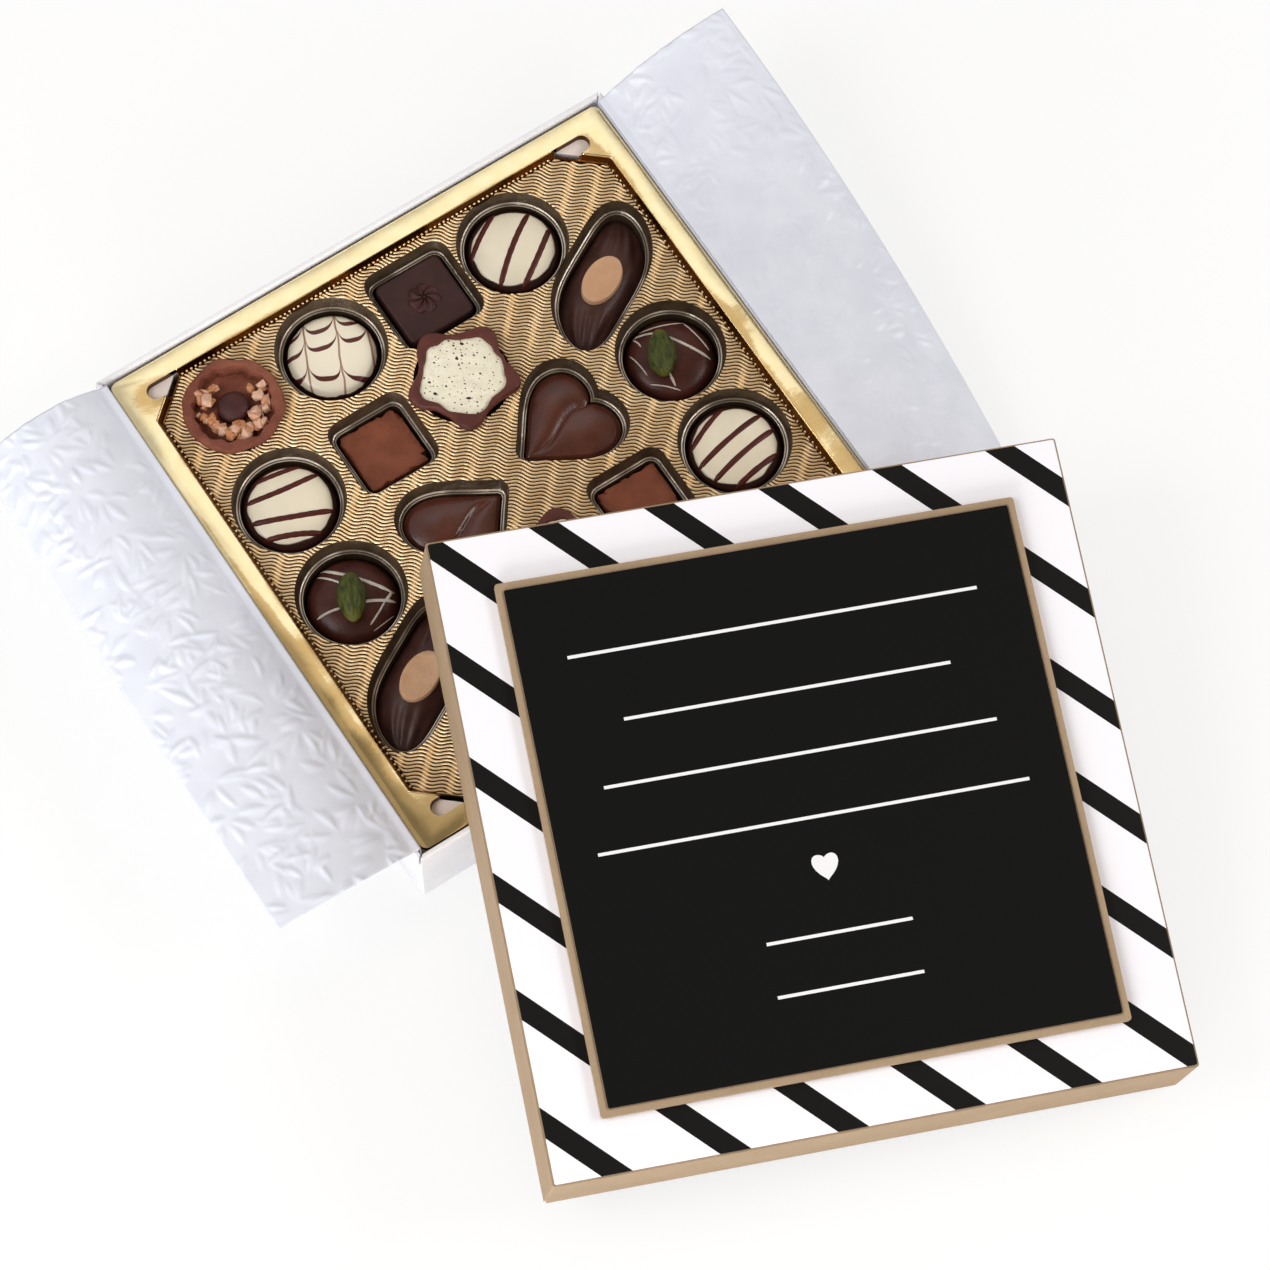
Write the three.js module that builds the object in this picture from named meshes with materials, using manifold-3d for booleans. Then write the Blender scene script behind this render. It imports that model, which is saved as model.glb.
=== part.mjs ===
// Gift box of small chocolates, opened: a white carton base with a formed gold insert,
// twenty pralines in their pockets, a padding paper whose two flaps are laid open, and the
// lid leaning on the front of the base. Millimetres, +Z up, +Y towards the back.
// The origin is the middle of the base's underside.

import * as THREE from 'three';
import { mergeVertices } from 'three/addons/utils/BufferGeometryUtils.js';
import Module from 'manifold-3d';

const wasm = await Module();
wasm.setup();
const { degToRad, lerp } = THREE.MathUtils;

// Pralines
const ROUND_D = 21;
const DOME_D = 20.4;
const NUT_CUP_D = 23;
const STAR_SPAN = 25.4;
const STAR_POINTS = 5;
const STAR_POINT_RISE = 2.4;
const STAR_POINT_SHARPNESS = 1.3;
const HEART_SIZE = 21;
const BOAT_L = 34.6;
const BOAT_W = 15.6;
const BOAT_BEND = 1.1;
const DARK_SIDE = 17;
const MILK_SIDE = 15.4;
const PRALINE_H = 13.5;
const MILK_H = 12;
const CUP_FOOT_D = 17.4;
const CUP_BRIM_H = 2.2;
const CUP_BRIM_LIFT = 0.7;
const CUP_WALL = 1.7;
const CUP_FILL_DEPTH = 3.2;
const CUP_NECK_RISE = 0.2;
const CUP_BRIM_ROUND = 0.5;
const CUP_LIP_ROUND = 0.4;
const CUP_LIP_DEPTH = 0.6;
const NUT_FLUTES = 18;
const NUT_FLUTE_DEPTH = 0.35;
const NUT_LIP = 0.8;
const NUT_BITS = 12;
const NUT_BIT_R = 1.5;
const NUT_BED_H = 1.2;
const DROP_D = 6.4;
const DROP_H = 3;
const STAR_FILLING_H = 2.2;
const FILLING_EDGE_H = 0.3;
const FILLING_EDGE_IN = 0.4;
const ROSETTE_D = 7;
const ROSETTE_PETALS = 7;
const ROSETTE_H = 0.9;
const ROSETTE_ROOT = 0.4;
const MEDALLION_L = 12.4;
const MEDALLION_W = 7.8;
const MEDALLION_H = 0.8;
const MEDALLION_TURN = degToRad(-15);
const KERNEL_L = 11.6;
const KERNEL_W = 6.4;
const KERNEL_H = 5;
const KERNEL_TURN = degToRad(63);
const PRALINE_BELOW_PANEL = 1.3;

// Praline profiles: how far an edge lies below the top, and how far inside the widest outline
const FOOT_H = 0.8;
const FOOT_IN = 1.2;
const ROUND_FOOT_IN = 0.5;
const ROUND_SHOULDER_DOWN = 4;
const ROUND_BROW_DOWN = 2.2;
const ROUND_BROW_IN = 0.5;
const ROUND_CROWN_DOWN = 0.8;
const ROUND_CROWN_IN = 2.1;
const ROUND_TOP_DOWN = 0.1;
const DOME_FOOT_IN = 0.3;
const DOME_SHOULDER_DOWN = 6;
const DOME_BROW_DOWN = 3;
const DOME_BROW_IN = 1.4;
const DOME_CROWN_DOWN = 0.9;
const DOME_CROWN_IN = 4.4;
const DOME_TOP_DOWN = 0.05;
const SQUARE_CORNER_R = 1;
const SQUARE_FOOT_H = 0.6;
const SQUARE_FOOT_IN = 0.4;
const DARK_DRAFT = 0.6;
const DARK_CHAMFER = 0.5;
const MILK_DRAFT = 0.2;
const MILK_CHAMFER = 0.4;
const HEART_FOOT_H = 1;
const HEART_SHOULDER_DOWN = 5.5;
const HEART_BROW_DOWN = 3;
const HEART_CROWN_DOWN = 1;
const BOAT_FOOT_H = 1;
const BOAT_SHOULDER_DOWN = 6.5;
const BOAT_BROW_DOWN = 4;
const BOAT_CROWN_DOWN = 1.2;
const BOAT_SINK = 0.9;
const BOAT_PLATEAU_RIM = 0.3;

// Gold insert
const POCKET_GAP = 1.3;
const POCKET_LIP = 0.8;
const POCKET_TAPER = 0.5;
const POCKET_WEB = 1.5;
const SQUARE_POCKET_R = 1.5;
const BOAT_POCKET_SNUG = 0.5;
const CUP_POCKET_DEPTH = 11.8;
const SHEET = 0.5;
const PANEL_DROP = 3;
const PANEL_MARGIN_X = 1.3;
const PANEL_MARGIN_Y = 0.2;
const PANEL_CORNER_X = 9.4;
const PANEL_CORNER_Y = 8.2;
const STEP_DRAFT = 0.6;
const RIM = 4.6;
const RIM_CORNER_R = 2;
const CORNER_SLOT_L = 9.4;
const CORNER_SLOT_W = 4;
const CORNER_SLOT_DEPTH = 1.8;
const CORNER_SLOT_INSET = 1.1;
const CORNER_SLOT_END_FLAT = 0.02;

// Cartons and paper
const CARTON_FLOOR = 0.8;
const CARTON_WALL = 1.3;
const CARTON_PLY = 0.5;
const CARTON_CORNER_R = 0.6;
const INNER_PLY_STOP = 2.5;
const CORNER_NOTCH = 0.5;
const CORNER_NOTCH_DEPTH = 2.4;
const PAPER = 0.25;
const SEAT = 0.3;
const RIM_BELOW_WALL = 1.1;
const LID_TOP = 1;
const LID_WALL = 1.4;
const LID_CLEARANCE = 1;
const LID_HEADROOM = 0.5;
const STRIPE_SHEET = 0.25;
const STRIPE_INSET = 1;
const STRIPE_CORNER_R = 0.4;
const PLAQUE_W = 112;
const PLAQUE_L = 114;
const PLAQUE_H = 1.4;
const PLAQUE_CORNER_R = 0.6;
const PLAQUE_FACE_CORNER_R = 0.4;
const PLAQUE_BORDER = 1.4;
const PLAQUE_FACE_H = 0.2;
const PLAQUE_RECESS = 0.1;

// Paper flaps: width, and slopes at the crease and at the free edge, back and front
const FLAP_W = 35;
const FLAP_STEPS = 9;
const FLAP_SECTIONS = 9;
const PINNED_SECTIONS = 3;
const LEFT_FLAP_BACK = [degToRad(34), degToRad(-44)];
const LEFT_FLAP_FRONT = [degToRad(10), degToRad(2)];
const RIGHT_FLAP_BACK = [degToRad(31), degToRad(1)];
const RIGHT_FLAP_FRONT = [degToRad(-18), degToRad(-44)];
const RIGHT_FLAP_PINNED = 36;

// Where the lid lies: its middle in plan and its turn
const LID_X = 6;
const LID_Y = -101.5;
const LID_YAW = degToRad(-21.1);
const TABLE_GAP = 0.1;

// Praline places in pitches from the middle, each with a twin turned half way round the box; the nut
// cups stand in two corners, with this much clear panel between the brim and the step
const LAYOUT = [
  { kind: 'feathered', u: -0.697, v: 1.85 },
  { kind: 'dark', u: 0.263, v: 1.85 },
  { kind: 'striped', u: 1.19, v: 1.85 },
  { kind: 'striped', u: -1.769, v: 0.821 },
  { kind: 'boat', u: 1.675, v: 1.151 },
  { kind: 'pistachio', u: 1.777, v: 0.207 },
  { kind: 'milk', u: -0.797, v: 0.837 },
  { kind: 'star', u: 0.112, v: 0.976 },
  { kind: 'heart', u: 0.655, v: 0.175 },
];
const NUT_EDGE_X = 4.1;
const NUT_EDGE_Y = 1.7;
const BOAT_TURN = degToRad(43);
const HEART_TURN = degToRad(11);
const STAR_TURN = degToRad(30);

// Sizes that follow from those above; the round pralines set the pitch
const POCKET_GROW = POCKET_GAP + POCKET_LIP;
const PITCH = ROUND_D + 2 * POCKET_GAP + POCKET_WEB;
const OUTER_U = Math.max(...LAYOUT.map((place) => Math.abs(place.u)));
const OUTER_V = Math.max(...LAYOUT.map((place) => Math.abs(place.v)));
const POCKET_R = ROUND_D / 2 + POCKET_GROW;
const PANEL_W = 2 * (OUTER_U * PITCH + POCKET_R + PANEL_MARGIN_X);
const PANEL_L = 2 * (OUTER_V * PITCH + POCKET_R + PANEL_MARGIN_Y);
const NUT_PLACE = {
  kind: 'nut',
  u: (NUT_EDGE_X + NUT_CUP_D / 2 - PANEL_W / 2) / PITCH,
  v: (PANEL_L / 2 - NUT_EDGE_Y - NUT_CUP_D / 2) / PITCH,
};
const INSERT_W = PANEL_W + 2 * (STEP_DRAFT + RIM);
const INSERT_L = PANEL_L + 2 * (STEP_DRAFT + RIM);
const LINER_Z = CARTON_FLOOR + SEAT / 2;
const INSERT_FOOT = LINER_Z + PAPER + SEAT;
const POCKET_FLOOR = INSERT_FOOT + SHEET;
const PRALINE_Z = POCKET_FLOOR + SEAT;
const PANEL_Z = PRALINE_Z + Math.max(PRALINE_H, MILK_H) + PRALINE_BELOW_PANEL;
const RIM_Z = PANEL_Z + PANEL_DROP;
const CUP_POCKET_FLOOR = PANEL_Z - CUP_POCKET_DEPTH;
const CUP_Z = CUP_POCKET_FLOOR + SEAT;
const CUP_NECK_H = CUP_POCKET_DEPTH - SEAT;
const CUP_H = CUP_NECK_H + CUP_BRIM_LIFT + CUP_BRIM_H;
const CUP_FILL_Z = CUP_H - CUP_FILL_DEPTH + SEAT;
const BASE_IN_W = INSERT_W + 2 * (2 * SEAT + PAPER);
const BASE_IN_L = INSERT_L + 4 * SEAT;
const BASE_W = BASE_IN_W + 2 * CARTON_WALL;
const BASE_L = BASE_IN_L + 2 * CARTON_WALL;
const BASE_H = RIM_Z + RIM_BELOW_WALL;
const LID_W = BASE_W + 2 * (LID_CLEARANCE + LID_WALL);
const LID_L = BASE_L + 2 * (LID_CLEARANCE + LID_WALL);
const LID_H = BASE_H + LID_HEADROOM + LID_TOP;

// Materials
function finish(color, roughness, metalness = 0) {
  return new THREE.MeshStandardMaterial({ color, roughness, metalness });
}
const WHITE_BOARD = finish(0xf1f0f2, 0.6);
const KRAFT_BOARD = finish(0xa58d71, 0.8);
const STRIPED_PRINT = finish(0xf7f6fc, 0.55);
const BLACK_PRINT = finish(0x1c1c1c, 0.5);
const EMBOSSED_PAPER = finish(0xe8e9f0, 0.45);
const GOLD_FOIL = finish(0xd9b45c, 0.25, 1);
const DARK_CHOCOLATE = finish(0x2c1814, 0.4);
const MILK_CHOCOLATE = finish(0x6d3f2c, 0.45);
const BROWN_CHOCOLATE = finish(0x43201a, 0.25);
const WHITE_CHOCOLATE = finish(0xece4cf, 0.4);
const TAN_CHOCOLATE = finish(0xc89a78, 0.5);
const NUT = finish(0xc08a5c, 0.7);
const PISTACHIO = finish(0x4c6a22, 0.6);

// Outlines: lists of plan points, counter-clockwise
function circle(radius, count) {
  return outlineOf(count, () => radius);
}

function outlineOf(count, radiusAt) {
  return Array.from({ length: count }, (_, i) => {
    const angle = (i / count) * 2 * Math.PI;
    const radius = radiusAt(angle);
    return new THREE.Vector2(radius * Math.cos(angle), radius * Math.sin(angle));
  });
}

function roundedRect(width, length, radius, steps = 3) {
  const points = [];
  const corners = [[1, 1], [-1, 1], [-1, -1], [1, -1]];
  corners.forEach(([sx, sy], quarter) => {
    for (let i = 0; i <= steps; i++) {
      const angle = (quarter + i / steps) * Math.PI / 2;
      points.push(new THREE.Vector2(
        sx * (width / 2 - radius) + radius * Math.cos(angle),
        sy * (length / 2 - radius) + radius * Math.sin(angle)));
    }
  });
  return points;
}

function slantedPanel(width, length) {
  const x = width / 2;
  const y = length / 2;
  const corner = [[x, y - PANEL_CORNER_Y], [x - PANEL_CORNER_X, y]];
  const mirrored = corner.map(([px, py]) => [-px, py]).reverse();
  const half = [...corner, ...mirrored];
  return [...half, ...half.map(([px, py]) => [-px, -py])].map(([px, py]) => new THREE.Vector2(px, py));
}

function heartOutline(size, count) {
  const shape = new THREE.Shape();
  const s = size / 2;
  shape.moveTo(0.62 * s, 0);
  shape.bezierCurveTo(0.95 * s, 0.12 * s, 1.02 * s, 0.95 * s, 0.38 * s, 1.02 * s);
  shape.bezierCurveTo(-0.12 * s, 1.06 * s, -0.52 * s, 0.5 * s, -1.05 * s, 0.06 * s);
  shape.quadraticCurveTo(-1.12 * s, 0, -1.05 * s, -0.06 * s);
  shape.bezierCurveTo(-0.52 * s, -0.5 * s, -0.12 * s, -1.06 * s, 0.38 * s, -1.02 * s);
  shape.bezierCurveTo(1.02 * s, -0.95 * s, 0.95 * s, -0.12 * s, 0.62 * s, 0);
  return shape.getSpacedPoints(count).slice(0, count);
}

function boatOutline(length, width, count) {
  return Array.from({ length: count }, (_, i) => {
    const angle = (i / count) * 2 * Math.PI;
    const along = Math.cos(angle);
    const bend = BOAT_BEND * Math.sin(Math.PI * along);
    return new THREE.Vector2(along * length / 2, Math.sin(angle) * width / 2 - bend);
  });
}

function starOutline(span, count) {
  return outlineOf(count, (angle) => {
    const point = (0.5 + 0.5 * Math.cos(STAR_POINTS * angle)) ** STAR_POINT_SHARPNESS;
    return span / 2 - STAR_POINT_RISE * (1 - point);
  });
}

function flutedOutline(radius, count) {
  return outlineOf(count, (angle) => radius + NUT_FLUTE_DEPTH * Math.cos(NUT_FLUTES * angle));
}

function rosetteOutline(radius, count) {
  return outlineOf(count, (angle) => radius * (0.8 + 0.2 * Math.cos(ROSETTE_PETALS * angle)));
}

function grow(outline, distance) {
  const count = outline.length;
  return outline.map((point, i) => {
    const before = outline[(i + count - 1) % count];
    const after = outline[(i + 1) % count];
    const along = after.clone().sub(before).normalize();
    return new THREE.Vector2(point.x + along.y * distance, point.y - along.x * distance);
  });
}

function scaled(outline, factor) {
  return outline.map((point) => point.clone().multiplyScalar(factor));
}

// Solids
function ring(outline, z) {
  return outline.map((point) => new THREE.Vector3(point.x, point.y, z));
}

function loft(rings, flatten = (point) => new THREE.Vector2(point.x, point.y)) {
  const count = rings[0].length;
  const triangles = [];
  for (let level = 0; level + 1 < rings.length; level++) {
    for (let i = 0; i < count; i++) {
      const a = level * count + i;
      const b = level * count + (i + 1) % count;
      triangles.push(a, b, b + count, a, b + count, a + count);
    }
  }
  const last = (rings.length - 1) * count;
  THREE.ShapeUtils.triangulateShape(rings[0].map(flatten), [])
    .forEach(([a, b, c]) => triangles.push(c, b, a));
  THREE.ShapeUtils.triangulateShape(rings.at(-1).map(flatten), [])
    .forEach(([a, b, c]) => triangles.push(last + a, last + b, last + c));
  const geometry = new THREE.BufferGeometry().setFromPoints(rings.flat());
  geometry.setIndex(triangles);
  geometry.computeVertexNormals();
  return geometry;
}

function revolve(profile, segments) {
  const points = profile.map(([r, z]) => new THREE.Vector2(r, z));
  return new THREE.LatheGeometry(points, segments).rotateX(Math.PI / 2);
}

function toSolid(geometry) {
  const bare = geometry.index ? geometry.toNonIndexed() : geometry.clone();
  bare.deleteAttribute('normal');
  bare.deleteAttribute('uv');
  const merged = mergeVertices(bare, 1e-4);
  const index = merged.index.array;
  const corners = [];
  for (let i = 0; i < index.length; i += 3) {
    const [a, b, c] = [index[i], index[i + 1], index[i + 2]];
    if (a !== b && b !== c && c !== a) corners.push(a, b, c);
  }
  return new wasm.Manifold(new wasm.Mesh({
    numProp: 3,
    vertProperties: merged.attributes.position.array,
    triVerts: new Uint32Array(corners),
  }));
}

function toGeometry(solid) {
  const mesh = solid.getMesh();
  const geometry = new THREE.BufferGeometry();
  geometry.setAttribute('position', new THREE.BufferAttribute(mesh.vertProperties, 3));
  geometry.setIndex(new THREE.BufferAttribute(mesh.triVerts, 1));
  geometry.computeVertexNormals();
  return geometry;
}

const box = new THREE.Group();

function piece(parent, name, geometry, material) {
  const mesh = new THREE.Mesh(geometry, material);
  mesh.name = name;
  parent.add(mesh);
  return mesh;
}

// Folded carton tray: double walls with a rolled top edge, and the inner ply stopping above the floor
function cartonTray(width, length, height, wall, floor) {
  const inset = (distance) => roundedRect(width - 2 * distance, length - 2 * distance, CARTON_CORNER_R);
  const stop = floor + INNER_PLY_STOP;
  const tray = toSolid(loft([
    ring(inset(0), 0),
    ring(inset(0), height - wall * 0.4),
    ring(inset(wall * 0.25), height),
    ring(inset(wall * 0.75), height),
    ring(inset(wall), height - wall * 0.4),
    ring(inset(wall), stop),
    ring(inset(wall - CARTON_PLY), stop),
    ring(inset(wall - CARTON_PLY), floor),
  ]));
  const notch = new THREE.BoxGeometry(4 * wall, CORNER_NOTCH, 2 * CORNER_NOTCH_DEPTH);
  let cut = tray;
  for (const [sx, sy] of [[1, 1], [-1, 1], [-1, -1], [1, -1]]) {
    const slit = notch.clone().rotateZ(sx * sy * Math.PI / 4);
    slit.translate(sx * (width - wall) / 2, sy * (length - wall) / 2, height);
    cut = cut.subtract(toSolid(slit));
  }
  return toGeometry(cut);
}

piece(box, 'base_carton', cartonTray(BASE_W, BASE_L, BASE_H, CARTON_WALL, CARTON_FLOOR), WHITE_BOARD);

// Padding paper: one strip under the insert and up inside both side walls
const LINER_HALF = INSERT_W / 2 + SEAT + PAPER;
const LINER_TOP = BASE_H - SEAT;
const LINER_L = INSERT_L - 2 * SEAT;

function linerSheet() {
  const section = new THREE.Shape();
  section.moveTo(-LINER_HALF, LINER_TOP);
  section.lineTo(-LINER_HALF, LINER_Z);
  section.lineTo(LINER_HALF, LINER_Z);
  section.lineTo(LINER_HALF, LINER_TOP);
  section.lineTo(LINER_HALF - PAPER, LINER_TOP);
  section.lineTo(LINER_HALF - PAPER, LINER_Z + PAPER);
  section.lineTo(-LINER_HALF + PAPER, LINER_Z + PAPER);
  section.lineTo(-LINER_HALF + PAPER, LINER_TOP);
  section.closePath();
  const sheet = new THREE.ExtrudeGeometry(section, { depth: LINER_L, bevelEnabled: false });
  return sheet.rotateX(Math.PI / 2).translate(0, LINER_L / 2, 0);
}

piece(box, 'liner_sheet', linerSheet(), EMBOSSED_PAPER);

// Flaps of the padding paper: from the crease over the wall's top edge, then out with a changing slope
const CREASE_X = LINER_HALF - PAPER;
const CREASE_Z = BASE_H + SEAT;
const OVER_WALL = BASE_W / 2 - CREASE_X;

function flapSection(side, y, slopes) {
  const share = (LINER_L / 2 - y) / LINER_L;
  const [backIn, backOut] = slopes.back;
  const [frontIn, frontOut] = slopes.front;
  const slopeIn = lerp(backIn, frontIn, share);
  const slopeOut = lerp(backOut, frontOut, share);
  const step = (FLAP_W - OVER_WALL) / FLAP_STEPS;
  const under = [[CREASE_X, CREASE_Z], [CREASE_X + OVER_WALL, CREASE_Z]];
  const over = [[CREASE_X, CREASE_Z + PAPER], [CREASE_X + OVER_WALL, CREASE_Z + PAPER]];
  let [x, z] = under[1];
  for (let i = 0; i < FLAP_STEPS; i++) {
    const slope = lerp(slopeIn, slopeOut, (i + 0.5) / FLAP_STEPS);
    x += step * Math.cos(slope);
    z += step * Math.sin(slope);
    under.push([x, z]);
    over.push([x - PAPER * Math.sin(slope), z + PAPER * Math.cos(slope)]);
  }
  const points = [...under, ...over.reverse()].map(([px, pz]) => new THREE.Vector3(side * px, y, pz));
  return side < 0 ? points.reverse() : points;
}

function flap(side, slopes, yFront, yBack, sections) {
  const rings = [];
  for (let i = 0; i <= sections; i++) {
    const y = lerp(yBack, yFront, i / sections);
    rings.push(flapSection(side, y, slopes));
  }
  return loft(rings, (point) => new THREE.Vector2(point.x, point.z));
}

const LEFT_SLOPES = { back: LEFT_FLAP_BACK, front: LEFT_FLAP_FRONT };
const RIGHT_SLOPES = { back: RIGHT_FLAP_BACK, front: RIGHT_FLAP_FRONT };
const LINER_FRONT = -LINER_L / 2;
const PINNED_BACK = LINER_FRONT + RIGHT_FLAP_PINNED;
const leftFlap = flap(-1, LEFT_SLOPES, LINER_FRONT, LINER_L / 2, FLAP_SECTIONS);
piece(box, 'liner_flap_left', leftFlap, EMBOSSED_PAPER);
const FREE_SECTIONS = FLAP_SECTIONS - PINNED_SECTIONS;
const rightFlap = flap(1, RIGHT_SLOPES, PINNED_BACK + SEAT, LINER_L / 2, FREE_SECTIONS);
piece(box, 'liner_flap_right', rightFlap, EMBOSSED_PAPER);
const rightFlapEnd = flap(1, RIGHT_SLOPES, LINER_FRONT, PINNED_BACK, PINNED_SECTIONS);
piece(box, 'liner_flap_right_end', rightFlapEnd, EMBOSSED_PAPER);

// Pralines, each standing on z = 0 about its own middle
const ROUND_SIDES = 18;
const POCKET_SIDES = 16;

function roundPraline() {
  const r = ROUND_D / 2;
  const height = PRALINE_H;
  return revolve([
    [0, 0],
    [r - FOOT_IN, 0],
    [r - ROUND_FOOT_IN, FOOT_H],
    [r, height - ROUND_SHOULDER_DOWN],
    [r - ROUND_BROW_IN, height - ROUND_BROW_DOWN],
    [r - ROUND_CROWN_IN, height - ROUND_CROWN_DOWN],
    [r * 0.45, height - ROUND_TOP_DOWN],
    [0, height],
  ], ROUND_SIDES);
}

function domePraline(grown) {
  const r = DOME_D / 2 + grown;
  const top = PRALINE_H + grown;
  return revolve([
    [0, -grown],
    [r - FOOT_IN, -grown],
    [r - DOME_FOOT_IN, FOOT_H],
    [r, top - DOME_SHOULDER_DOWN],
    [r - DOME_BROW_IN, top - DOME_BROW_DOWN],
    [r - DOME_CROWN_IN, top - DOME_CROWN_DOWN],
    [r * 0.22, top - DOME_TOP_DOWN],
    [0, top],
  ], ROUND_SIDES);
}

function squarePraline(side, height, draft, chamfer) {
  const outline = (inset) => roundedRect(side - 2 * inset, side - 2 * inset, SQUARE_CORNER_R, 2);
  return loft([
    ring(outline(SQUARE_FOOT_IN), 0),
    ring(outline(0), SQUARE_FOOT_H),
    ring(outline(draft), height - chamfer),
    ring(outline(draft + chamfer), height),
  ]);
}

function darkSquare() {
  const block = toSolid(squarePraline(DARK_SIDE, PRALINE_H, DARK_DRAFT, DARK_CHAMFER));
  const petals = (share) => rosetteOutline(ROSETTE_D / 2 * share, 3 * ROSETTE_PETALS);
  const flower = loft([
    ring(petals(1), PRALINE_H - ROSETTE_ROOT),
    ring(petals(0.94), PRALINE_H + ROSETTE_H * 0.6),
    ring(petals(0.6), PRALINE_H + ROSETTE_H),
  ]);
  return toGeometry(block.add(toSolid(flower)));
}

function milkSquare() {
  return squarePraline(MILK_SIDE, MILK_H, MILK_DRAFT, MILK_CHAMFER);
}

function heartPraline() {
  const outline = heartOutline(HEART_SIZE, 26);
  return loft([
    ring(scaled(outline, 0.9), 0),
    ring(scaled(outline, 0.97), HEART_FOOT_H),
    ring(outline, PRALINE_H - HEART_SHOULDER_DOWN),
    ring(scaled(outline, 0.93), PRALINE_H - HEART_BROW_DOWN),
    ring(scaled(outline, 0.74), PRALINE_H - HEART_CROWN_DOWN),
    ring(scaled(outline, 0.4), PRALINE_H),
  ]);
}

const BOAT_TOP = PRALINE_H - BOAT_SINK;

function boatPraline() {
  const outline = boatOutline(BOAT_L, BOAT_W, 24);
  const plateauW = Math.max(MEDALLION_W + 2 * BOAT_PLATEAU_RIM, BOAT_W * 0.5);
  const plateau = boatOutline(BOAT_L * 0.5, plateauW, 24);
  const shoulder = outline.map((point, i) => point.clone().lerp(plateau[i], 0.45));
  return loft([
    ring(scaled(outline, 0.88), 0),
    ring(scaled(outline, 0.96), BOAT_FOOT_H),
    ring(outline, BOAT_TOP - BOAT_SHOULDER_DOWN),
    ring(scaled(outline, 0.95), BOAT_TOP - BOAT_BROW_DOWN),
    ring(shoulder, BOAT_TOP - BOAT_CROWN_DOWN),
    ring(plateau, BOAT_TOP),
  ]);
}

function medallion() {
  const size = new THREE.Vector2(MEDALLION_L, MEDALLION_W);
  const outline = circle(0.5, 20).map((point) => point.multiply(size));
  return loft([
    ring(outline, 0),
    ring(outline, MEDALLION_H * 0.6),
    ring(scaled(outline, 0.94), MEDALLION_H),
  ]).rotateZ(MEDALLION_TURN);
}

// A cup: foot, flaring wall, brim outline, and a filled hollow
function cup(brim, hollow, brimBase) {
  const foot = circle(CUP_FOOT_D / 2, brim.length);
  const neck = circle(CUP_FOOT_D / 2 + 0.5 * POCKET_GAP, brim.length);
  const floor = CUP_H - CUP_FILL_DEPTH;
  return loft([
    ring(scaled(foot, 0.94), 0),
    ring(foot, FOOT_H),
    ring(neck, CUP_NECK_H + CUP_NECK_RISE),
    ring(brimBase, CUP_H - CUP_BRIM_H),
    ring(brim, CUP_H - CUP_BRIM_H * 0.4),
    ring(grow(brim, -CUP_BRIM_ROUND), CUP_H),
    ring(grow(hollow, CUP_LIP_ROUND), CUP_H),
    ring(hollow, CUP_H - CUP_LIP_DEPTH),
    ring(scaled(hollow, 0.9), floor),
  ]);
}

const NUT_HOLLOW_R = NUT_CUP_D / 2 - CUP_WALL - NUT_LIP;

function nutCup() {
  const points = NUT_FLUTES * 2;
  const brim = flutedOutline(NUT_CUP_D / 2 - NUT_FLUTE_DEPTH, points);
  return cup(brim, circle(NUT_HOLLOW_R, points), scaled(brim, 0.93));
}

function starCup() {
  const points = STAR_POINTS * 6;
  const brim = starOutline(STAR_SPAN, points);
  const hollow = starOutline(STAR_SPAN - 2 * CUP_WALL, points);
  return cup(brim, hollow, scaled(brim, 0.94));
}

function starFilling() {
  const hollow = starOutline(STAR_SPAN - 2 * CUP_WALL, STAR_POINTS * 6);
  const edge = grow(scaled(hollow, 0.9), -SEAT);
  return loft([
    ring(edge, 0),
    ring(edge, STAR_FILLING_H - FILLING_EDGE_H),
    ring(grow(edge, -FILLING_EDGE_IN), STAR_FILLING_H),
  ]);
}

const CUP_IN_R = NUT_HOLLOW_R * 0.9 - SEAT;

function nutCrumbs() {
  const inside = DROP_D / 2 + SEAT;
  let heap = toSolid(revolve([
    [inside, 0],
    [CUP_IN_R, 0],
    [CUP_IN_R, NUT_BED_H],
    [inside, NUT_BED_H],
    [inside, 0],
  ], 24));
  const middle = (inside + CUP_IN_R) / 2;
  const spread = Math.max(0, (CUP_IN_R - inside) / 2 - NUT_BIT_R);
  for (let i = 0; i < NUT_BITS; i++) {
    const angle = (i / NUT_BITS) * 2 * Math.PI;
    const radius = middle + spread * Math.sin(i * 2.4);
    const bit = new THREE.IcosahedronGeometry(NUT_BIT_R * (0.85 + 0.15 * Math.cos(i * 1.7)), 0);
    bit.rotateX(i * 0.9).rotateZ(i * 1.3);
    bit.translate(radius * Math.cos(angle), radius * Math.sin(angle), NUT_BED_H + 0.5 * NUT_BIT_R);
    heap = heap.add(toSolid(bit));
  }
  const post = (radius) => (
    toSolid(new THREE.CylinderGeometry(radius, radius, 6 * NUT_BIT_R + NUT_BED_H, 24).rotateX(Math.PI / 2))
  );
  return toGeometry(heap.subtract(post(inside)).intersect(post(CUP_IN_R)));
}

function nutDrop() {
  const r = DROP_D / 2;
  return revolve([
    [0, 0],
    [r, 0],
    [r, DROP_H * 0.45],
    [r * 0.8, DROP_H * 0.8],
    [r * 0.4, DROP_H * 0.97],
    [0, DROP_H],
  ], 16);
}

function kernel() {
  const half = new THREE.SphereGeometry(0.5, 12, 7).rotateX(Math.PI / 2);
  half.scale(KERNEL_L, KERNEL_W, KERNEL_H).rotateZ(KERNEL_TURN);
  half.translate(0, 0, PRALINE_H + KERNEL_H * 0.22);
  return toGeometry(toSolid(half).subtract(toSolid(domePraline(SEAT))));
}

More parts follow.
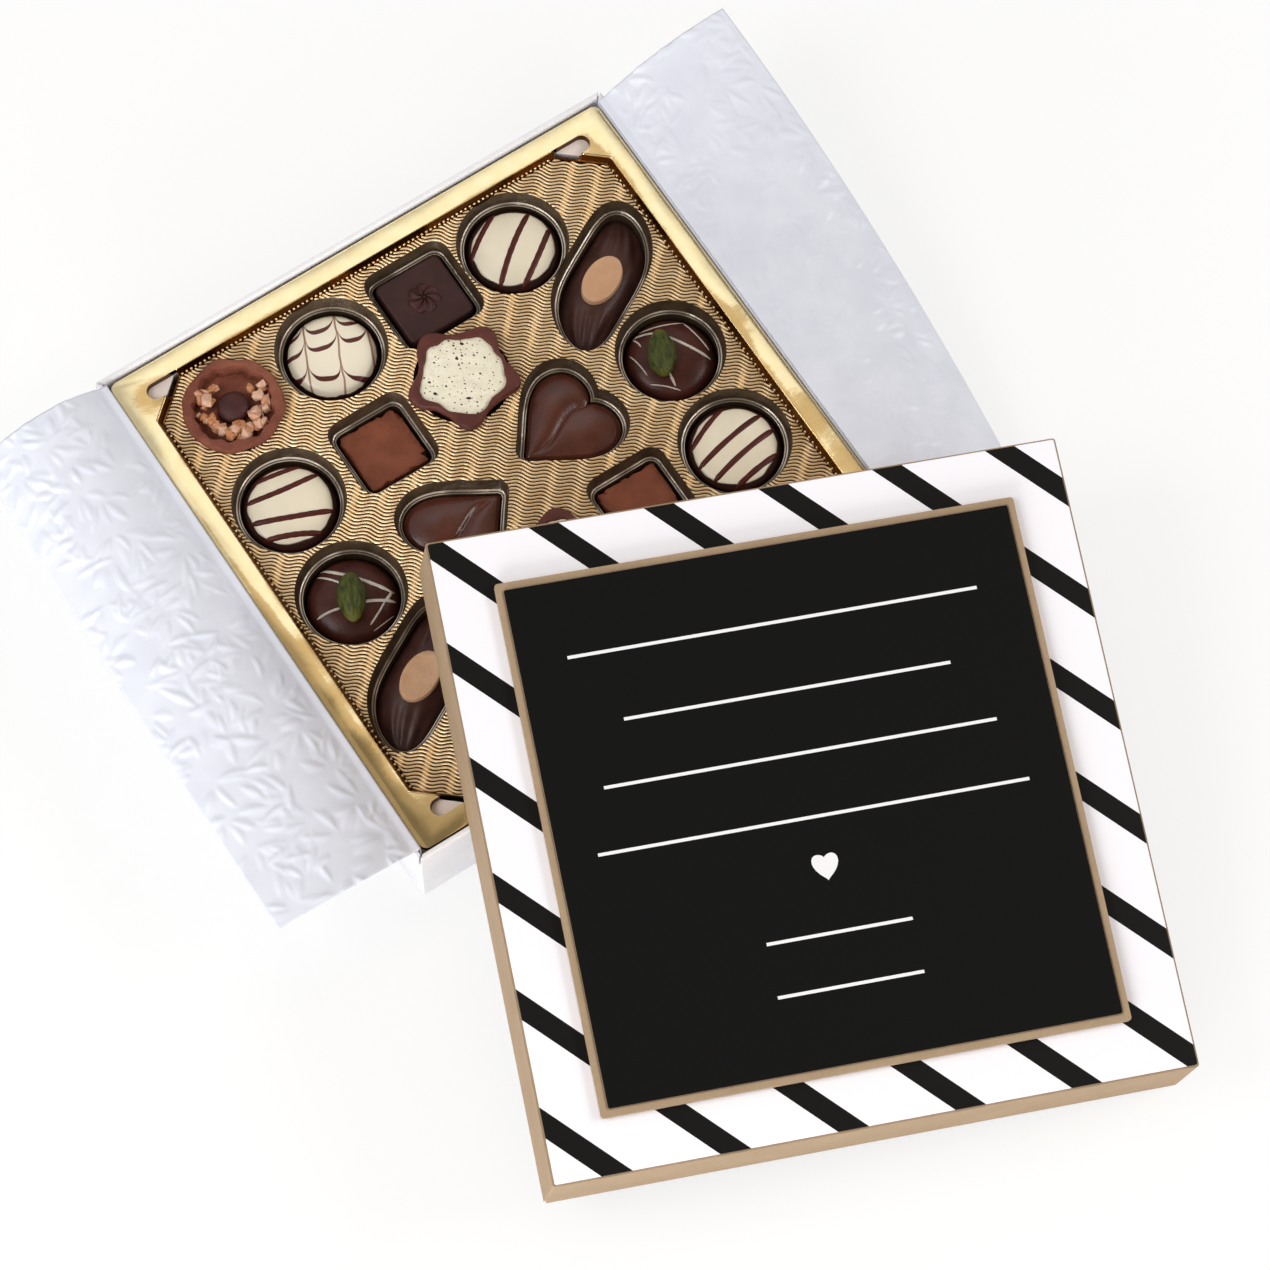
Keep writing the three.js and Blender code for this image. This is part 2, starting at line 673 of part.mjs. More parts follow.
// What stands in a pocket: the praline, what is laid on it, and the outline that the pocket is formed to
const KINDS = {
  striped: {
    pocket: circle(ROUND_D / 2, POCKET_SIDES),
    parts: [{ name: 'striped', make: roundPraline, material: WHITE_CHOCOLATE, z: 0 }],
  },
  feathered: {
    pocket: circle(ROUND_D / 2, POCKET_SIDES),
    parts: [{ name: 'feathered', make: roundPraline, material: WHITE_CHOCOLATE, z: 0 }],
  },
  pistachio: {
    pocket: circle(DOME_D / 2, POCKET_SIDES),
    parts: [
      { name: 'pistachio_dome', make: () => domePraline(0), material: DARK_CHOCOLATE, z: 0 },
      { name: 'pistachio_kernel', make: kernel, material: PISTACHIO, z: 0 },
    ],
  },
  dark: {
    pocket: roundedRect(DARK_SIDE, DARK_SIDE, SQUARE_POCKET_R, 2),
    parts: [{ name: 'dark_square', make: darkSquare, material: DARK_CHOCOLATE, z: 0 }],
  },
  milk: {
    pocket: roundedRect(MILK_SIDE, MILK_SIDE, SQUARE_POCKET_R, 2),
    parts: [{ name: 'milk_square', make: milkSquare, material: MILK_CHOCOLATE, z: 0 }],
  },
  boat: {
    pocket: boatOutline(BOAT_L - 2 * BOAT_POCKET_SNUG, BOAT_W - 2 * BOAT_POCKET_SNUG, 20),
    turn: BOAT_TURN,
    parts: [
      { name: 'boat', make: boatPraline, material: DARK_CHOCOLATE, z: 0 },
      { name: 'boat_medallion', make: medallion, material: TAN_CHOCOLATE, z: BOAT_TOP + SEAT },
    ],
  },
  heart: {
    pocket: heartOutline(HEART_SIZE, 20),
    turn: HEART_TURN,
    parts: [{ name: 'heart', make: heartPraline, material: BROWN_CHOCOLATE, z: 0 }],
  },
  nut: {
    pocket: circle(CUP_FOOT_D / 2, POCKET_SIDES),
    shallow: true,
    parts: [
      { name: 'nut_cup', make: nutCup, material: MILK_CHOCOLATE, z: 0 },
      { name: 'nut_crumbs', make: nutCrumbs, material: NUT, z: CUP_FILL_Z },
      { name: 'nut_drop', make: nutDrop, material: DARK_CHOCOLATE, z: CUP_FILL_Z },
    ],
  },
  star: {
    pocket: circle(CUP_FOOT_D / 2, POCKET_SIDES),
    shallow: true,
    turn: STAR_TURN,
    parts: [
      { name: 'star_cup', make: starCup, material: MILK_CHOCOLATE, z: 0 },
      { name: 'star_filling', make: starFilling, material: WHITE_CHOCOLATE, z: CUP_FILL_Z },
    ],
  },
};

// Each place and its twin, numbered within its kind
const places = [];
const numbered = {};
for (const half of [1, -1]) {
  for (const { kind, u, v } of [NUT_PLACE, ...LAYOUT]) {
    numbered[kind] = (numbered[kind] ?? 0) + 1;
    const turn = (KINDS[kind].turn ?? 0) + (half < 0 ? Math.PI : 0);
    places.push({ kind, number: numbered[kind], x: half * u * PITCH, y: half * v * PITCH, turn });
  }
}

for (const { kind, number, x, y, turn } of places) {
  const { parts, shallow } = KINDS[kind];
  const spot = new THREE.Group();
  spot.position.set(x, y, shallow ? CUP_Z : PRALINE_Z);
  spot.rotation.z = turn;
  for (const { name, make, material, z } of parts) {
    piece(spot, `${name}_${number}`, make(), material).position.z = z;
  }
  box.add(spot);
}

// Gold insert: a formed sheet with a skirt, a smooth rim, a sunk panel and a pocket for each praline;
// the shapes that are cut from it run past its faces by this much
const CUT_PAST = 3;

function pocketShape(outline, floorZ, thickness) {
  const wide = grow(outline, POCKET_GROW + thickness);
  const lip = grow(outline, POCKET_GAP);
  const bottom = grow(outline, POCKET_GAP - POCKET_TAPER + thickness);
  if (thickness > 0) return loft([ring(bottom, floorZ - thickness), ring(wide, PANEL_Z - 0.5 * thickness)]);
  return loft([
    ring(grow(outline, POCKET_GAP - 2 * POCKET_TAPER), floorZ),
    ring(bottom, floorZ + POCKET_TAPER),
    ring(lip, PANEL_Z - POCKET_LIP),
    ring(wide, PANEL_Z),
    ring(wide, PANEL_Z + CUT_PAST),
  ]);
}

function atPlaces(thickness) {
  return places.map(({ kind, x, y, turn }) => {
    const { pocket, shallow } = KINDS[kind];
    const floor = shallow ? CUP_POCKET_FLOOR : POCKET_FLOOR;
    return toSolid(pocketShape(pocket, floor, thickness).rotateZ(turn).translate(x, y, 0));
  });
}

function panelRecess(thickness) {
  const low = slantedPanel(PANEL_W + 2 * thickness, PANEL_L + 2 * thickness);
  const high = slantedPanel(PANEL_W + 2 * (STEP_DRAFT + thickness), PANEL_L + 2 * (STEP_DRAFT + thickness));
  return toSolid(loft([ring(low, PANEL_Z - thickness), ring(high, RIM_Z), ring(high, RIM_Z + CUT_PAST)]));
}

function cornerSlots(thickness) {
  const reach = CORNER_SLOT_L + 2 * thickness;
  const across = CORNER_SLOT_W + 2 * thickness;
  const outline = roundedRect(reach, across, (across - CORNER_SLOT_END_FLAT) / 2, 4);
  const x = PANEL_W / 2 - CORNER_SLOT_INSET - CORNER_SLOT_L / 2;
  const y = PANEL_L / 2 - CORNER_SLOT_W / 2 + STEP_DRAFT;
  const low = RIM_Z - CORNER_SLOT_DEPTH - thickness;
  return [[1, 1], [-1, 1], [-1, -1], [1, -1]].map(([sx, sy]) => (
    toSolid(loft([ring(outline, low), ring(outline, RIM_Z + CUT_PAST)]).translate(sx * x, sy * y, 0))
  ));
}

function goldInsert() {
  const skirt = roundedRect(INSERT_W, INSERT_L, RIM_CORNER_R);
  const inside = roundedRect(INSERT_W - 2 * SHEET, INSERT_L - 2 * SHEET, RIM_CORNER_R - SHEET);
  let formed = toSolid(loft([
    ring(skirt, INSERT_FOOT),
    ring(skirt, RIM_Z - SHEET),
    ring(grow(skirt, -SHEET), RIM_Z),
  ]));
  let under = toSolid(loft([ring(inside, INSERT_FOOT - CUT_PAST), ring(inside, RIM_Z - SHEET)]));
  const shapes = (thickness) => [panelRecess(thickness), ...cornerSlots(thickness), ...atPlaces(thickness)];
  for (const kept of shapes(SHEET)) under = under.subtract(kept);
  for (const sunk of shapes(0)) formed = formed.subtract(sunk);
  return toGeometry(formed.subtract(under));
}

piece(box, 'gold_insert', goldInsert(), GOLD_FOIL);

// Lid: leaning with one corner on the table, a wall on the base's front and another on its right side
function leaningLid() {
  const turn = new THREE.Vector2(Math.cos(LID_YAW), Math.sin(LID_YAW));
  const inPlan = (x, y) => new THREE.Vector2(
    LID_X + x * turn.x - y * turn.y,
    LID_Y + x * turn.y + y * turn.x);
  const leftFace = -LID_W / 2 + LID_WALL;
  const backFace = LID_L / 2 - LID_WALL;
  const frontCross = inPlan(leftFace, (-BASE_L / 2 - LID_Y - leftFace * turn.y) / turn.x);
  const sideCross = inPlan((BASE_W / 2 - LID_X + backFace * turn.y) / turn.x, backFace);
  const onFront = new THREE.Vector3(frontCross.x, frontCross.y, BASE_H + SEAT);
  const onSide = new THREE.Vector3(sideCross.x, sideCross.y, CREASE_Z + PAPER + SEAT);
  const corner = inPlan(LID_W / 2, -LID_L / 2);
  const onTable = new THREE.Vector3(corner.x, corner.y, TABLE_GAP);
  const lid = new THREE.Group();
  const up = new THREE.Vector3();
  for (let pass = 0; pass < 6; pass++) {
    const across = onSide.clone().sub(onFront);
    const down = onTable.clone().sub(onFront);
    up.crossVectors(down, across).normalize();
    const right = new THREE.Vector3(turn.x, turn.y, 0);
    right.z = -(up.x * right.x + up.y * right.y) / up.z;
    right.normalize();
    const back = new THREE.Vector3().crossVectors(up, right);
    const z = onFront.z - (up.x * (LID_X - onFront.x) + up.y * (LID_Y - onFront.y)) / up.z;
    lid.position.set(LID_X, LID_Y, z);
    lid.setRotationFromMatrix(new THREE.Matrix4().makeBasis(right, back, up));
    const foot = lid.position.clone().addScaledVector(right, LID_W / 2).addScaledVector(back, -LID_L / 2);
    onTable.x = foot.x;
    onTable.y = foot.y;
  }
  return lid;
}

const lid = leaningLid();
const lidCarton = cartonTray(LID_W, LID_L, LID_H, LID_WALL, LID_TOP);
lidCarton.rotateX(Math.PI).translate(0, 0, LID_H);
piece(lid, 'lid_carton', lidCarton, KRAFT_BOARD);

function card(width, length, thickness, corner) {
  const outline = roundedRect(width, length, corner, 2);
  return loft([ring(outline, 0), ring(outline, thickness)]);
}

const SHEET_Z = LID_H + SEAT;
const PLAQUE_Z = SHEET_Z + STRIPE_SHEET + SEAT;
const STRIPE_W = LID_W - 2 * STRIPE_INSET;
const STRIPE_L = LID_L - 2 * STRIPE_INSET;
const stripeSheet = card(STRIPE_W, STRIPE_L, STRIPE_SHEET, STRIPE_CORNER_R);
piece(lid, 'lid_stripe_sheet', stripeSheet, STRIPED_PRINT).position.z = SHEET_Z;

// Plaque card with a shallow recess that the black face lies in
function plaqueCard() {
  const block = toSolid(card(PLAQUE_W, PLAQUE_L, PLAQUE_H, PLAQUE_CORNER_R));
  const faceW = PLAQUE_W - 2 * PLAQUE_BORDER;
  const faceL = PLAQUE_L - 2 * PLAQUE_BORDER;
  const recess = card(faceW, faceL, PLAQUE_H, PLAQUE_FACE_CORNER_R);
  recess.translate(0, 0, PLAQUE_H - PLAQUE_RECESS);
  return toGeometry(block.subtract(toSolid(recess)));
}

piece(lid, 'plaque_card', plaqueCard(), KRAFT_BOARD).position.z = PLAQUE_Z;
const faceGap = 2 * (PLAQUE_BORDER + SEAT);
const face = card(PLAQUE_W - faceGap, PLAQUE_L - faceGap, PLAQUE_FACE_H, PLAQUE_FACE_CORNER_R);
piece(lid, 'plaque_face', face, BLACK_PRINT).position.z = PLAQUE_Z + PLAQUE_H - PLAQUE_RECESS + SEAT;
box.add(lid);

export default box;
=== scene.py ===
import math
import random
from functools import reduce

import bmesh
import bpy
import numpy as np
from mathutils import Matrix, Vector, geometry, noise


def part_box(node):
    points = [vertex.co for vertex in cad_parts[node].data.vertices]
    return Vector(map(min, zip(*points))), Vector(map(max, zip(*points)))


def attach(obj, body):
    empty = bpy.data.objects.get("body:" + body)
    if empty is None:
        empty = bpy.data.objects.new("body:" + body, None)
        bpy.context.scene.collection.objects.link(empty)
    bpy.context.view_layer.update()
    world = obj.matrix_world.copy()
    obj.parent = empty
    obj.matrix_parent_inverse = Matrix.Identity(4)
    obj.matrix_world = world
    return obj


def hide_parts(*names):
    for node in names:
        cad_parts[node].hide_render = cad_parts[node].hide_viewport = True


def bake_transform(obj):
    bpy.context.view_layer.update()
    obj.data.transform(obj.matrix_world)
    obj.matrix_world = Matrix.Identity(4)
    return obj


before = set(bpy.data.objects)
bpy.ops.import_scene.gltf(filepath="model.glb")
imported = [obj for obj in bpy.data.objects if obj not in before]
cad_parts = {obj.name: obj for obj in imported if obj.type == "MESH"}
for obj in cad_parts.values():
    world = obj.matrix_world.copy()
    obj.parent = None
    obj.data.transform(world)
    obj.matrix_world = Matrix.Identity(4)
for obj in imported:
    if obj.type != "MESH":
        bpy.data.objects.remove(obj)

# Lengths are in millimetres in the building functions and become metres in piece()
MM = 0.001
TAU = 2 * math.pi
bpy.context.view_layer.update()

# Camera
CAMERA_TARGET = Vector((0.7, -47.5, 19.3))
CAMERA_AZIMUTH = math.radians(-33.26)
CAMERA_ELEVATION = math.radians(67.84)
CAMERA_DISTANCE = 1071.1
CAMERA_LENS = 141.7

# Direction of the picture's right side in the plan of the box
PICTURE_RIGHT = math.radians(-31.75)

# Light: brightest, warm and dim parts of the surroundings, and the lamps with their place, size and power
BRIGHT_WAY = Vector((0.26, 0.40, 0.88)).normalized()
WARM_WAY = Vector((0.45, -0.1, 0.887)).normalized()
DIM_WAY = Vector((-0.1, -0.05, 0.99)).normalized()
WARM_TINT = (1.0, 0.8, 0.56, 1)
LAMP_AIM = Vector((0.0, -0.045, 0.02))
LAMPS = {
    "right": ((0.62, -0.42, 0.55), (0.5, 0.3), 2.6),
    "left": ((-0.7, 0.1, 0.8), (0.5, 0.5), 3.6),
    "front": ((-0.8, -0.75, 0.26), (0.7, 0.3), 7.4),
}
TABLE_HALF = 2.5
TABLE_DROP = 0.0002

# Gold insert
PANEL_DROP = 2.3
RIM = 4.6
STEP_DRAFT = 0.6
PANEL_CORNER_X = 9.4
PANEL_CORNER_Y = 8.2
RIM_CORNER_R = 2.0
SLOT_L = 9.4
SLOT_W = 4.0
SLOT_DEPTH = 1.8
SLOT_INSET = 1.1
WAVE_TURN = math.radians(-45)
WAVE_PITCH = 0.85
WAVE_LENGTH = 5.9
WAVE_SWING = 0.42
WAVE_DRIFT = 0.35
WAVE_DRIFT_RATE = 0.16
WAVE_DEPTH = 0.5
WAVE_ROWS = (0.0, 0.35, 0.85, 1.0, 0.95, 0.5)
WAVE_STEP = 0.66
PANEL_SHEET = 1.0
STEP_SHEET = 0.25
STEP_FOOT_LEFT = 1.0
STEP_FOOT_RIGHT = 0.55
STEP_FOOT_Y = 0.5
STUD_R = 0.34
STUD_PITCH_X = 1.15
STUD_PITCH_Y = 1.5
STUD_RISE = 0.5
POCKET_LIP = 2.1
POCKET_POINTS = 96
POCKET_SHEET = 0.3
POCKET_SEAT = 0.3
# Section of the step: shares of its foot inwards, how far out at its top, and how far up from the panel
STEP_PROFILE = (
    (1.06, 0, -0.9), (1.0, 0, -0.2), (0.8, 0, 0.3), (0.5, 0, 0.45), (0.1, 0, 0.8), (0, 0.25, 1.5),
    (0, 0.45, PANEL_DROP - 0.28), (0, 0.54, PANEL_DROP - 0.08), (0, 0.68, PANEL_DROP + 0.02))
# Section of a pocket's wall: how far out from the praline, and how far from the panel
POCKET_PROFILE = (
    (2.4, -0.75), (2.1, -0.28), (1.95, -0.5), (1.28, -3.3), (1.16, -3.44), (0.98, -3.52), (0.86, -3.7),
    (0.74, -3.74), (0.62, -3.64), (0.48, -3.68), (0.42, -3.9), (0.36, -4.5), (0.3, -8.5))
# Heights of the two shining edges of the ledge in that section, which get a painted highlight
POCKET_SHINE = (-3.44, -3.52, -3.64, -3.68)

# Pralines
ROUND_R = 10.5
ROUND_CAP_R = 9.15
ROUND_LINES_R = 9.9
STRIPE_LINE_W = 1.3
STRIPE_LINE_H = 0.26
DOME_R = 10.2
DARK_SIDE = 17.0
MILK_SIDE = 15.4
SQUARE_CORNER = 1.5
ROSETTE_R = 3.75
ROSETTE_PETALS = 7
ROSETTE_STEPS = 17
HEART_TURN = math.radians(11)
HEART_SIZE = 21.0
HEART_SWELL = 1.4
HEART_SNUG = 0.3
BOAT_TURN = math.radians(43)
BOAT_L = 34.6
BOAT_W = 15.6
BOAT_BEND = 1.1
BOAT_SNUG = 0.5
STAR_TURN = math.radians(30)
STAR_SPAN = 25.4
STAR_DIP = 2.4
CUP_FOOT_D = 17.4
CUP_BRIM_H = 2.2
NUT_BRIM_R = 11.5
KERNEL_TURN = math.radians(63)
KERNEL_HALF = (5.8, 3.2, 2.5)
# How far each kernel lies from the middle of its dome, in the picture
KERNEL_SHIFT = {1: (-2.0, -0.4), 2: (0.0, -0.4)}
MEDALLION_TURN = math.radians(-15)
MEDALLION_HALF = (6.2, 3.9)
TOP_RINGS = 30
FEATHER_PITCH = 7.1
FEATHER_ROWS = ((6.2, 0.29), (1.65, 0.29), (-6.2, 0.0))
NUT_BITS = 58
# Scale of the cells and largest radius of the specks in each size of speck
SPECKS = ((0.12, 0.75), (0.3, 0.4), (0.5, 0.26), (0.8, 0.19))

# Padding paper
PAPER = 0.25
FLAP_W = 35.0
FLAP_STEPS = 84
FLAP_ROWS = 300
FLAP_LIFT = 0.3
# Slopes of each flap in degrees, near the crease and at its outer edge, at its back end and at its front
# end
LEFT_SLOPES = ((34, -44), (10, 2))
RIGHT_SLOPES = ((31, 1), (-18, -44))
EMBOSS_H = 0.42
SPRAY_STEP = 7.2
SPRAY_LEAVES = 4

# Lid
LID_YAW = math.radians(-21.1)
STRIPE_PITCH = 17.5
STRIPE_W = 4.6
PRINT_HEART = 5.6
PRINT_OVER = 1.1
LONG_RULES = ((38.8, 88), (23.9, 70), (10.3, 84), (-3.4, 92))
SHORT_RULES = ((-28.0, 31), (-39.3, 31))
HEART_Y = -14.8
RULE_W = 0.7


def corners(*nodes):
    """Lowest and highest corner of CAD nodes, in millimetres."""
    boxes = [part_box(node) for node in nodes]
    low = Vector([min(box[0][axis] for box in boxes) for axis in range(3)])
    high = Vector([max(box[1][axis] for box in boxes) for axis in range(3)])
    return low / MM, high / MM


# Where everything stands, from the CAD solids
INSERT_LOW, INSERT_HIGH = corners("gold_insert")
INSERT_W = INSERT_HIGH.x - INSERT_LOW.x
INSERT_L = INSERT_HIGH.y - INSERT_LOW.y
RIM_Z = INSERT_HIGH.z
PANEL_Z = RIM_Z - PANEL_DROP
PANEL_W = INSERT_W - 2 * (RIM + STEP_DRAFT)
PANEL_L = INSERT_L - 2 * (RIM + STEP_DRAFT)
BASE_LOW, BASE_HIGH = corners("base_carton")
LINER_LOW, LINER_HIGH = corners("liner_sheet")


def srgb(red, green, blue):
    """Linear colour of a screen colour given in 0 to 255."""
    def linear(value):
        share = value / 255
        return share / 12.92 if share <= 0.04045 else ((share + 0.055) / 1.055) ** 2.4
    return (linear(red), linear(green), linear(blue), 1.0)


class Shade:
    """A shader socket with arithmetic, and the one way to add any other node to its tree."""

    def __init__(self, tree, socket=None):
        self.tree = tree
        self.socket = socket

    def node(self, kind, settings=None, inputs=None, output=0):
        made = self.tree.nodes.new("ShaderNode" + kind)
        for key, value in (settings or {}).items():
            setattr(made, key, value)
        for key, value in (inputs or {}).items():
            if isinstance(value, Shade):
                self.tree.links.new(value.socket, made.inputs[key])
            else:
                made.inputs[key].default_value = value
        return Shade(self.tree, made.outputs[output])

    def math(self, operation, *terms):
        return self.node("Math", {"operation": operation}, dict(enumerate(terms)))

    def __add__(self, other):
        return self.math("ADD", self, other)

    def __sub__(self, other):
        return self.math("SUBTRACT", self, other)

    def __rsub__(self, other):
        return self.math("SUBTRACT", other, self)

    def __mul__(self, other):
        return self.math("MULTIPLY", self, other)

    def __truediv__(self, other):
        return self.math("DIVIDE", self, other)

    def __pow__(self, other):
        return self.math("POWER", self, other)

    def __lt__(self, other):
        return self.math("LESS_THAN", self, other)

    def __abs__(self):
        return self.math("ABSOLUTE", self)

    __radd__ = __add__
    __rmul__ = __mul__

    def either(self, other):
        return self.math("MAXIMUM", self, other)

    def fract(self):
        return self.math("FRACT", self)

    def eased(self, low, high):
        limits = {"Value": self, "From Min": low, "From Max": high}
        return self.node("MapRange", {"interpolation_type": "SMOOTHSTEP"}, limits)

    def mixed(self, first, second):
        """Colour between two colours, with this as the factor."""
        return self.node("Mix", {"data_type": "RGBA"}, {0: self, 6: first, 7: second}, 2)

    def place(self):
        """Place on the object, in millimetres."""
        at = self.node("TexCoord", output="Object")
        return self.node("VectorMath", {"operation": "SCALE"}, {0: at, "Scale": 1 / MM})

    def local(self):
        """Place in the piece's own frame, in millimetres."""
        return self.node("Attribute", {"attribute_name": "local"}, output="Vector")

    def tone(self):
        """A number stored with the mesh: each crumb's own tone, or where an edge gets a painted highlight.
        """
        return self.node("Attribute", {"attribute_name": "tone"}, output="Fac")

    def stretched(self, at, shares):
        return self.node("VectorMath", {"operation": "MULTIPLY"}, {0: at, 1: shares})

    def part(self, vector, index):
        return self.node("SeparateXYZ", None, {0: vector}, index)

    def noise(self, at, scale, detail=3.0):
        return self.node("TexNoise", None, {"Vector": at, "Scale": scale, "Detail": detail})

    def bump(self, height, distance):
        return self.node("Bump", None, {"Height": height, "Distance": distance * MM, "Strength": 1.0})


def finish(name, slot, paint, **constants):
    """A material for a slot of the record: constant sockets by name, and what paint links to the others."""
    material = bpy.data.materials.new(name)
    material["slot"] = slot
    material.use_nodes = True
    tree = material.node_tree
    shader = tree.nodes["Principled BSDF"]
    for key, value in constants.items():
        shader.inputs[key.replace("_", " ")].default_value = value
    for key, shade in paint(Shade(tree)).items():
        tree.links.new(shade.socket, shader.inputs[key])
    return material


def any_of(marks):
    return reduce(Shade.either, marks)


def board(colour, shadow, grain):
    """Paint of a carton board: cloudy tint and a fine fibre bump."""
    def paint(s):
        at = s.place()
        cloud = s.noise(at, 0.09, 5.0)
        fibre = s.noise(at, grain, 4.0)
        tint = (cloud * 0.55 + fibre * 0.45).eased(0.3, 0.7)
        return {
            "Base Color": tint.mixed(shadow, colour),
            "Normal": s.bump(fibre, 0.03),
        }
    return paint


def gold(light, deep, haze, ripple, bands=(), dull=None):
    """Paint of metallised gold sheet: slow waviness, faint scuffs, other colours below given heights
    (painted shade, or the pale slot floor), and no mirror shine below the height called dull."""
    def paint(s):
        at = s.place()
        slow = s.noise(at, 0.04, 1.0)
        cloud = s.noise(at, 0.3, 3.0)
        scuff = s.noise(s.stretched(at, (0.25, 3.0, 1.0)), 1.4, 4.0)
        tint = cloud.eased(0.25, 0.75).mixed(deep, light)
        for low, high, below in bands:
            tint = s.part(at, 2).eased(low, high).mixed(below, tint)
        made = {
            "Base Color": tint,
            "Roughness": haze + scuff.eased(0.6, 0.8) * 0.12 + cloud * 0.06,
            "Normal": s.bump(slow + cloud * 0.02, ripple),
        }
        if dull is not None:
            made["Metallic"] = s.part(at, 2).eased(dull, dull + 0.1)
        return made
    return paint


def waved(light, deep, painted_valley_shade, faint):
    """Paint of the embossed panel: painted shade in the valleys, which gives way to painted light in pale
    streaks wherever the waves run down.
    """
    def paint(s):
        at = s.place()
        x = s.part(at, 0)
        y = s.part(at, 1)
        along = x * math.cos(WAVE_TURN) + y * math.sin(WAVE_TURN)
        across = y * math.cos(WAVE_TURN) - x * math.sin(WAVE_TURN)
        phase = along * (TAU / WAVE_LENGTH) + s.math("SINE", across * WAVE_DRIFT_RATE) * WAVE_DRIFT
        cloud = s.noise(at, 0.3, 3.0)
        # Painted light: pale streaks over the valleys where the waves run down
        painted_slope_light = (0 - s.math("COSINE", phase)).eased(0.55, 1.0) * s.noise(at, 0.09, 2.0).eased(0.3, 0.6)
        # Painted shade: the valley colour below the crests
        crest = s.part(at, 2).eased(PANEL_Z - 0.38, PANEL_Z - 0.16)
        top = cloud.eased(0.25, 0.75).mixed(deep, light)
        return {
            "Base Color": crest.mixed(painted_slope_light.mixed(painted_valley_shade, faint), top),
            "Roughness": 0.3 + cloud * 0.08,
            "Normal": s.bump(cloud, 0.03),
        }
    return paint


def pocketed(wall, deep, edge):
    """Paint of the pocket walls: dull brown gold as painted shade, with a painted highlight, a pale silvery
    colour, on the edges of the ledge.
    """
    def paint(s):
        at = s.place()
        cloud = s.noise(at, 0.3, 3.0)
        # Painted highlight: the pale edge colour on the ledge edges, in patches
        shine = s.tone() * (s.noise(at, 0.11, 1.0).eased(0.4, 0.62) * 0.75 + 0.25)
        # The walls' dull brown is painted shade on the gold foil
        return {
            "Base Color": shine.mixed(cloud.eased(0.3, 0.7).mixed(deep, wall), edge),
            "Roughness": 0.24 + cloud * 0.12,
            "Normal": s.bump(cloud, 0.4),
        }
    return paint


def chocolate(colour, deep, gloss, grain=0.05):
    """Paint of a moulded chocolate: cloudy tint and a slightly uneven gloss."""
    def paint(s):
        at = s.place()
        cloud = s.noise(at, 0.22, 4.0)
        fine = s.noise(at, 2.4, 3.0)
        return {
            "Base Color": cloud.eased(0.3, 0.7).mixed(deep, colour),
            "Roughness": gloss + cloud * 0.1 + fine * 0.08,
            "Normal": s.bump(fine + cloud * 2.0, grain),
        }
    return paint


def capped(edge, colour, deep, shell):
    """Paint of a dark shell with a poured cap whose border wanders a little."""
    def paint(s):
        at = s.local()
        x = s.part(at, 0)
        y = s.part(at, 1)
        spread = (x * x + y * y) ** 0.5 + (s.noise(at, 0.16, 1.0) - 0.5) * 1.7
        cap = 1 - spread.eased(edge - 0.12, edge + 0.12)
        cloud = s.noise(at, 0.12, 2.0)
        return {
            "Base Color": cap.mixed(shell, cloud.eased(0.3, 0.75).mixed(deep, colour)),
            "Roughness": 0.26 + cloud * 0.1,
            "Normal": s.bump(cap * 0.6 + s.noise(at, 0.5, 1.0) * 0.12, 0.3),
        }
    return paint


def feathered(colour, drag, line, shell):
    """Paint of the feathered icing: rows of hanging scallops, drawn up into fine lines at their cusps."""
    def paint(s):
        at = s.local()
        x = s.part(at, 0)
        y = s.part(at, 1)
        drift = (s.noise(at, 0.14, 1.0) - 0.5) * 1.6
        across = ((x + y * 0.14 + drift - 1.6) / FEATHER_PITCH).fract()
        rise = abs(across * 2 - 1)
        hang = rise ** 3.2 * 2.6 + rise ** 16 * 2.2
        width = 0.6 - rise * rise * 0.46
        lines = []
        for row, tilt in FEATHER_ROWS:
            near = abs(y - x * tilt - hang - row + drift * 0.4)
            lines.append(1 - near.eased(width - 0.1, width + 0.08))
        rows = any_of(lines)
        aside = (1 - rise) * (FEATHER_PITCH / 2)
        pulled = 1 - aside.eased(0.1, 0.34)
        spread = (x * x + y * y) ** 0.5 + (s.noise(at, 0.3, 2.0) - 0.5) * 1.0
        icing = 1 - spread.eased(9.75, 9.95)
        top = rows.mixed((pulled * 0.85).mixed(colour, drag), line)
        return {
            "Base Color": icing.mixed(shell, top),
            "Roughness": 0.26 + s.noise(at, 0.8, 3.0) * 0.1,
            "Normal": s.bump(icing + rows * 0.25, 0.25),
        }
    return paint


def specked(colour, deep, speck):
    """Paint of the pale filling: dark specks of several sizes, one at most in each cell."""
    def paint(s):
        at = s.local()
        warped = s.stretched(at, (1.0, 0.72, 1.0))
        marks = []
        for scale, radius in SPECKS:
            settings = {"feature": "F1", "voronoi_dimensions": "2D"}
            inputs = {"Vector": warped, "Scale": scale, "Randomness": 1.0}
            away = s.node("TexVoronoi", settings, inputs, "Distance")
            own = s.part(s.node("TexVoronoi", settings, inputs, "Color"), 0)
            size = own * (radius * scale)
            ragged = away + (s.noise(at, 2.5, 2.0) - 0.5) * (0.3 * radius * scale)
            marks.append(1 - ragged.eased(size * 0.75, size))
        cloud = s.noise(at, 0.5, 4.0)
        return {
            "Base Color": any_of(marks).mixed(cloud.eased(0.3, 0.7).mixed(deep, colour), speck),
            "Roughness": 0.5 + cloud * 0.1,
            "Normal": s.bump(cloud + s.noise(at, 1.8, 3.0) * 0.5, 0.25),
        }
    return paint


def toasted(pale, brown, skin):
    """Paint of chopped nuts, each crumb in its own tone."""
    def paint(s):
        at = s.place()
        own = s.tone()
        fine = s.noise(at, 1.8, 4.0)
        body = own.eased(0.05, 0.8).mixed(pale, brown)
        return {
            "Base Color": (fine.eased(0.52, 0.7) * own).mixed(body, skin),
            "Roughness": 0.55 + fine * 0.2,
            "Normal": s.bump(fine, 0.25),
        }
    return paint


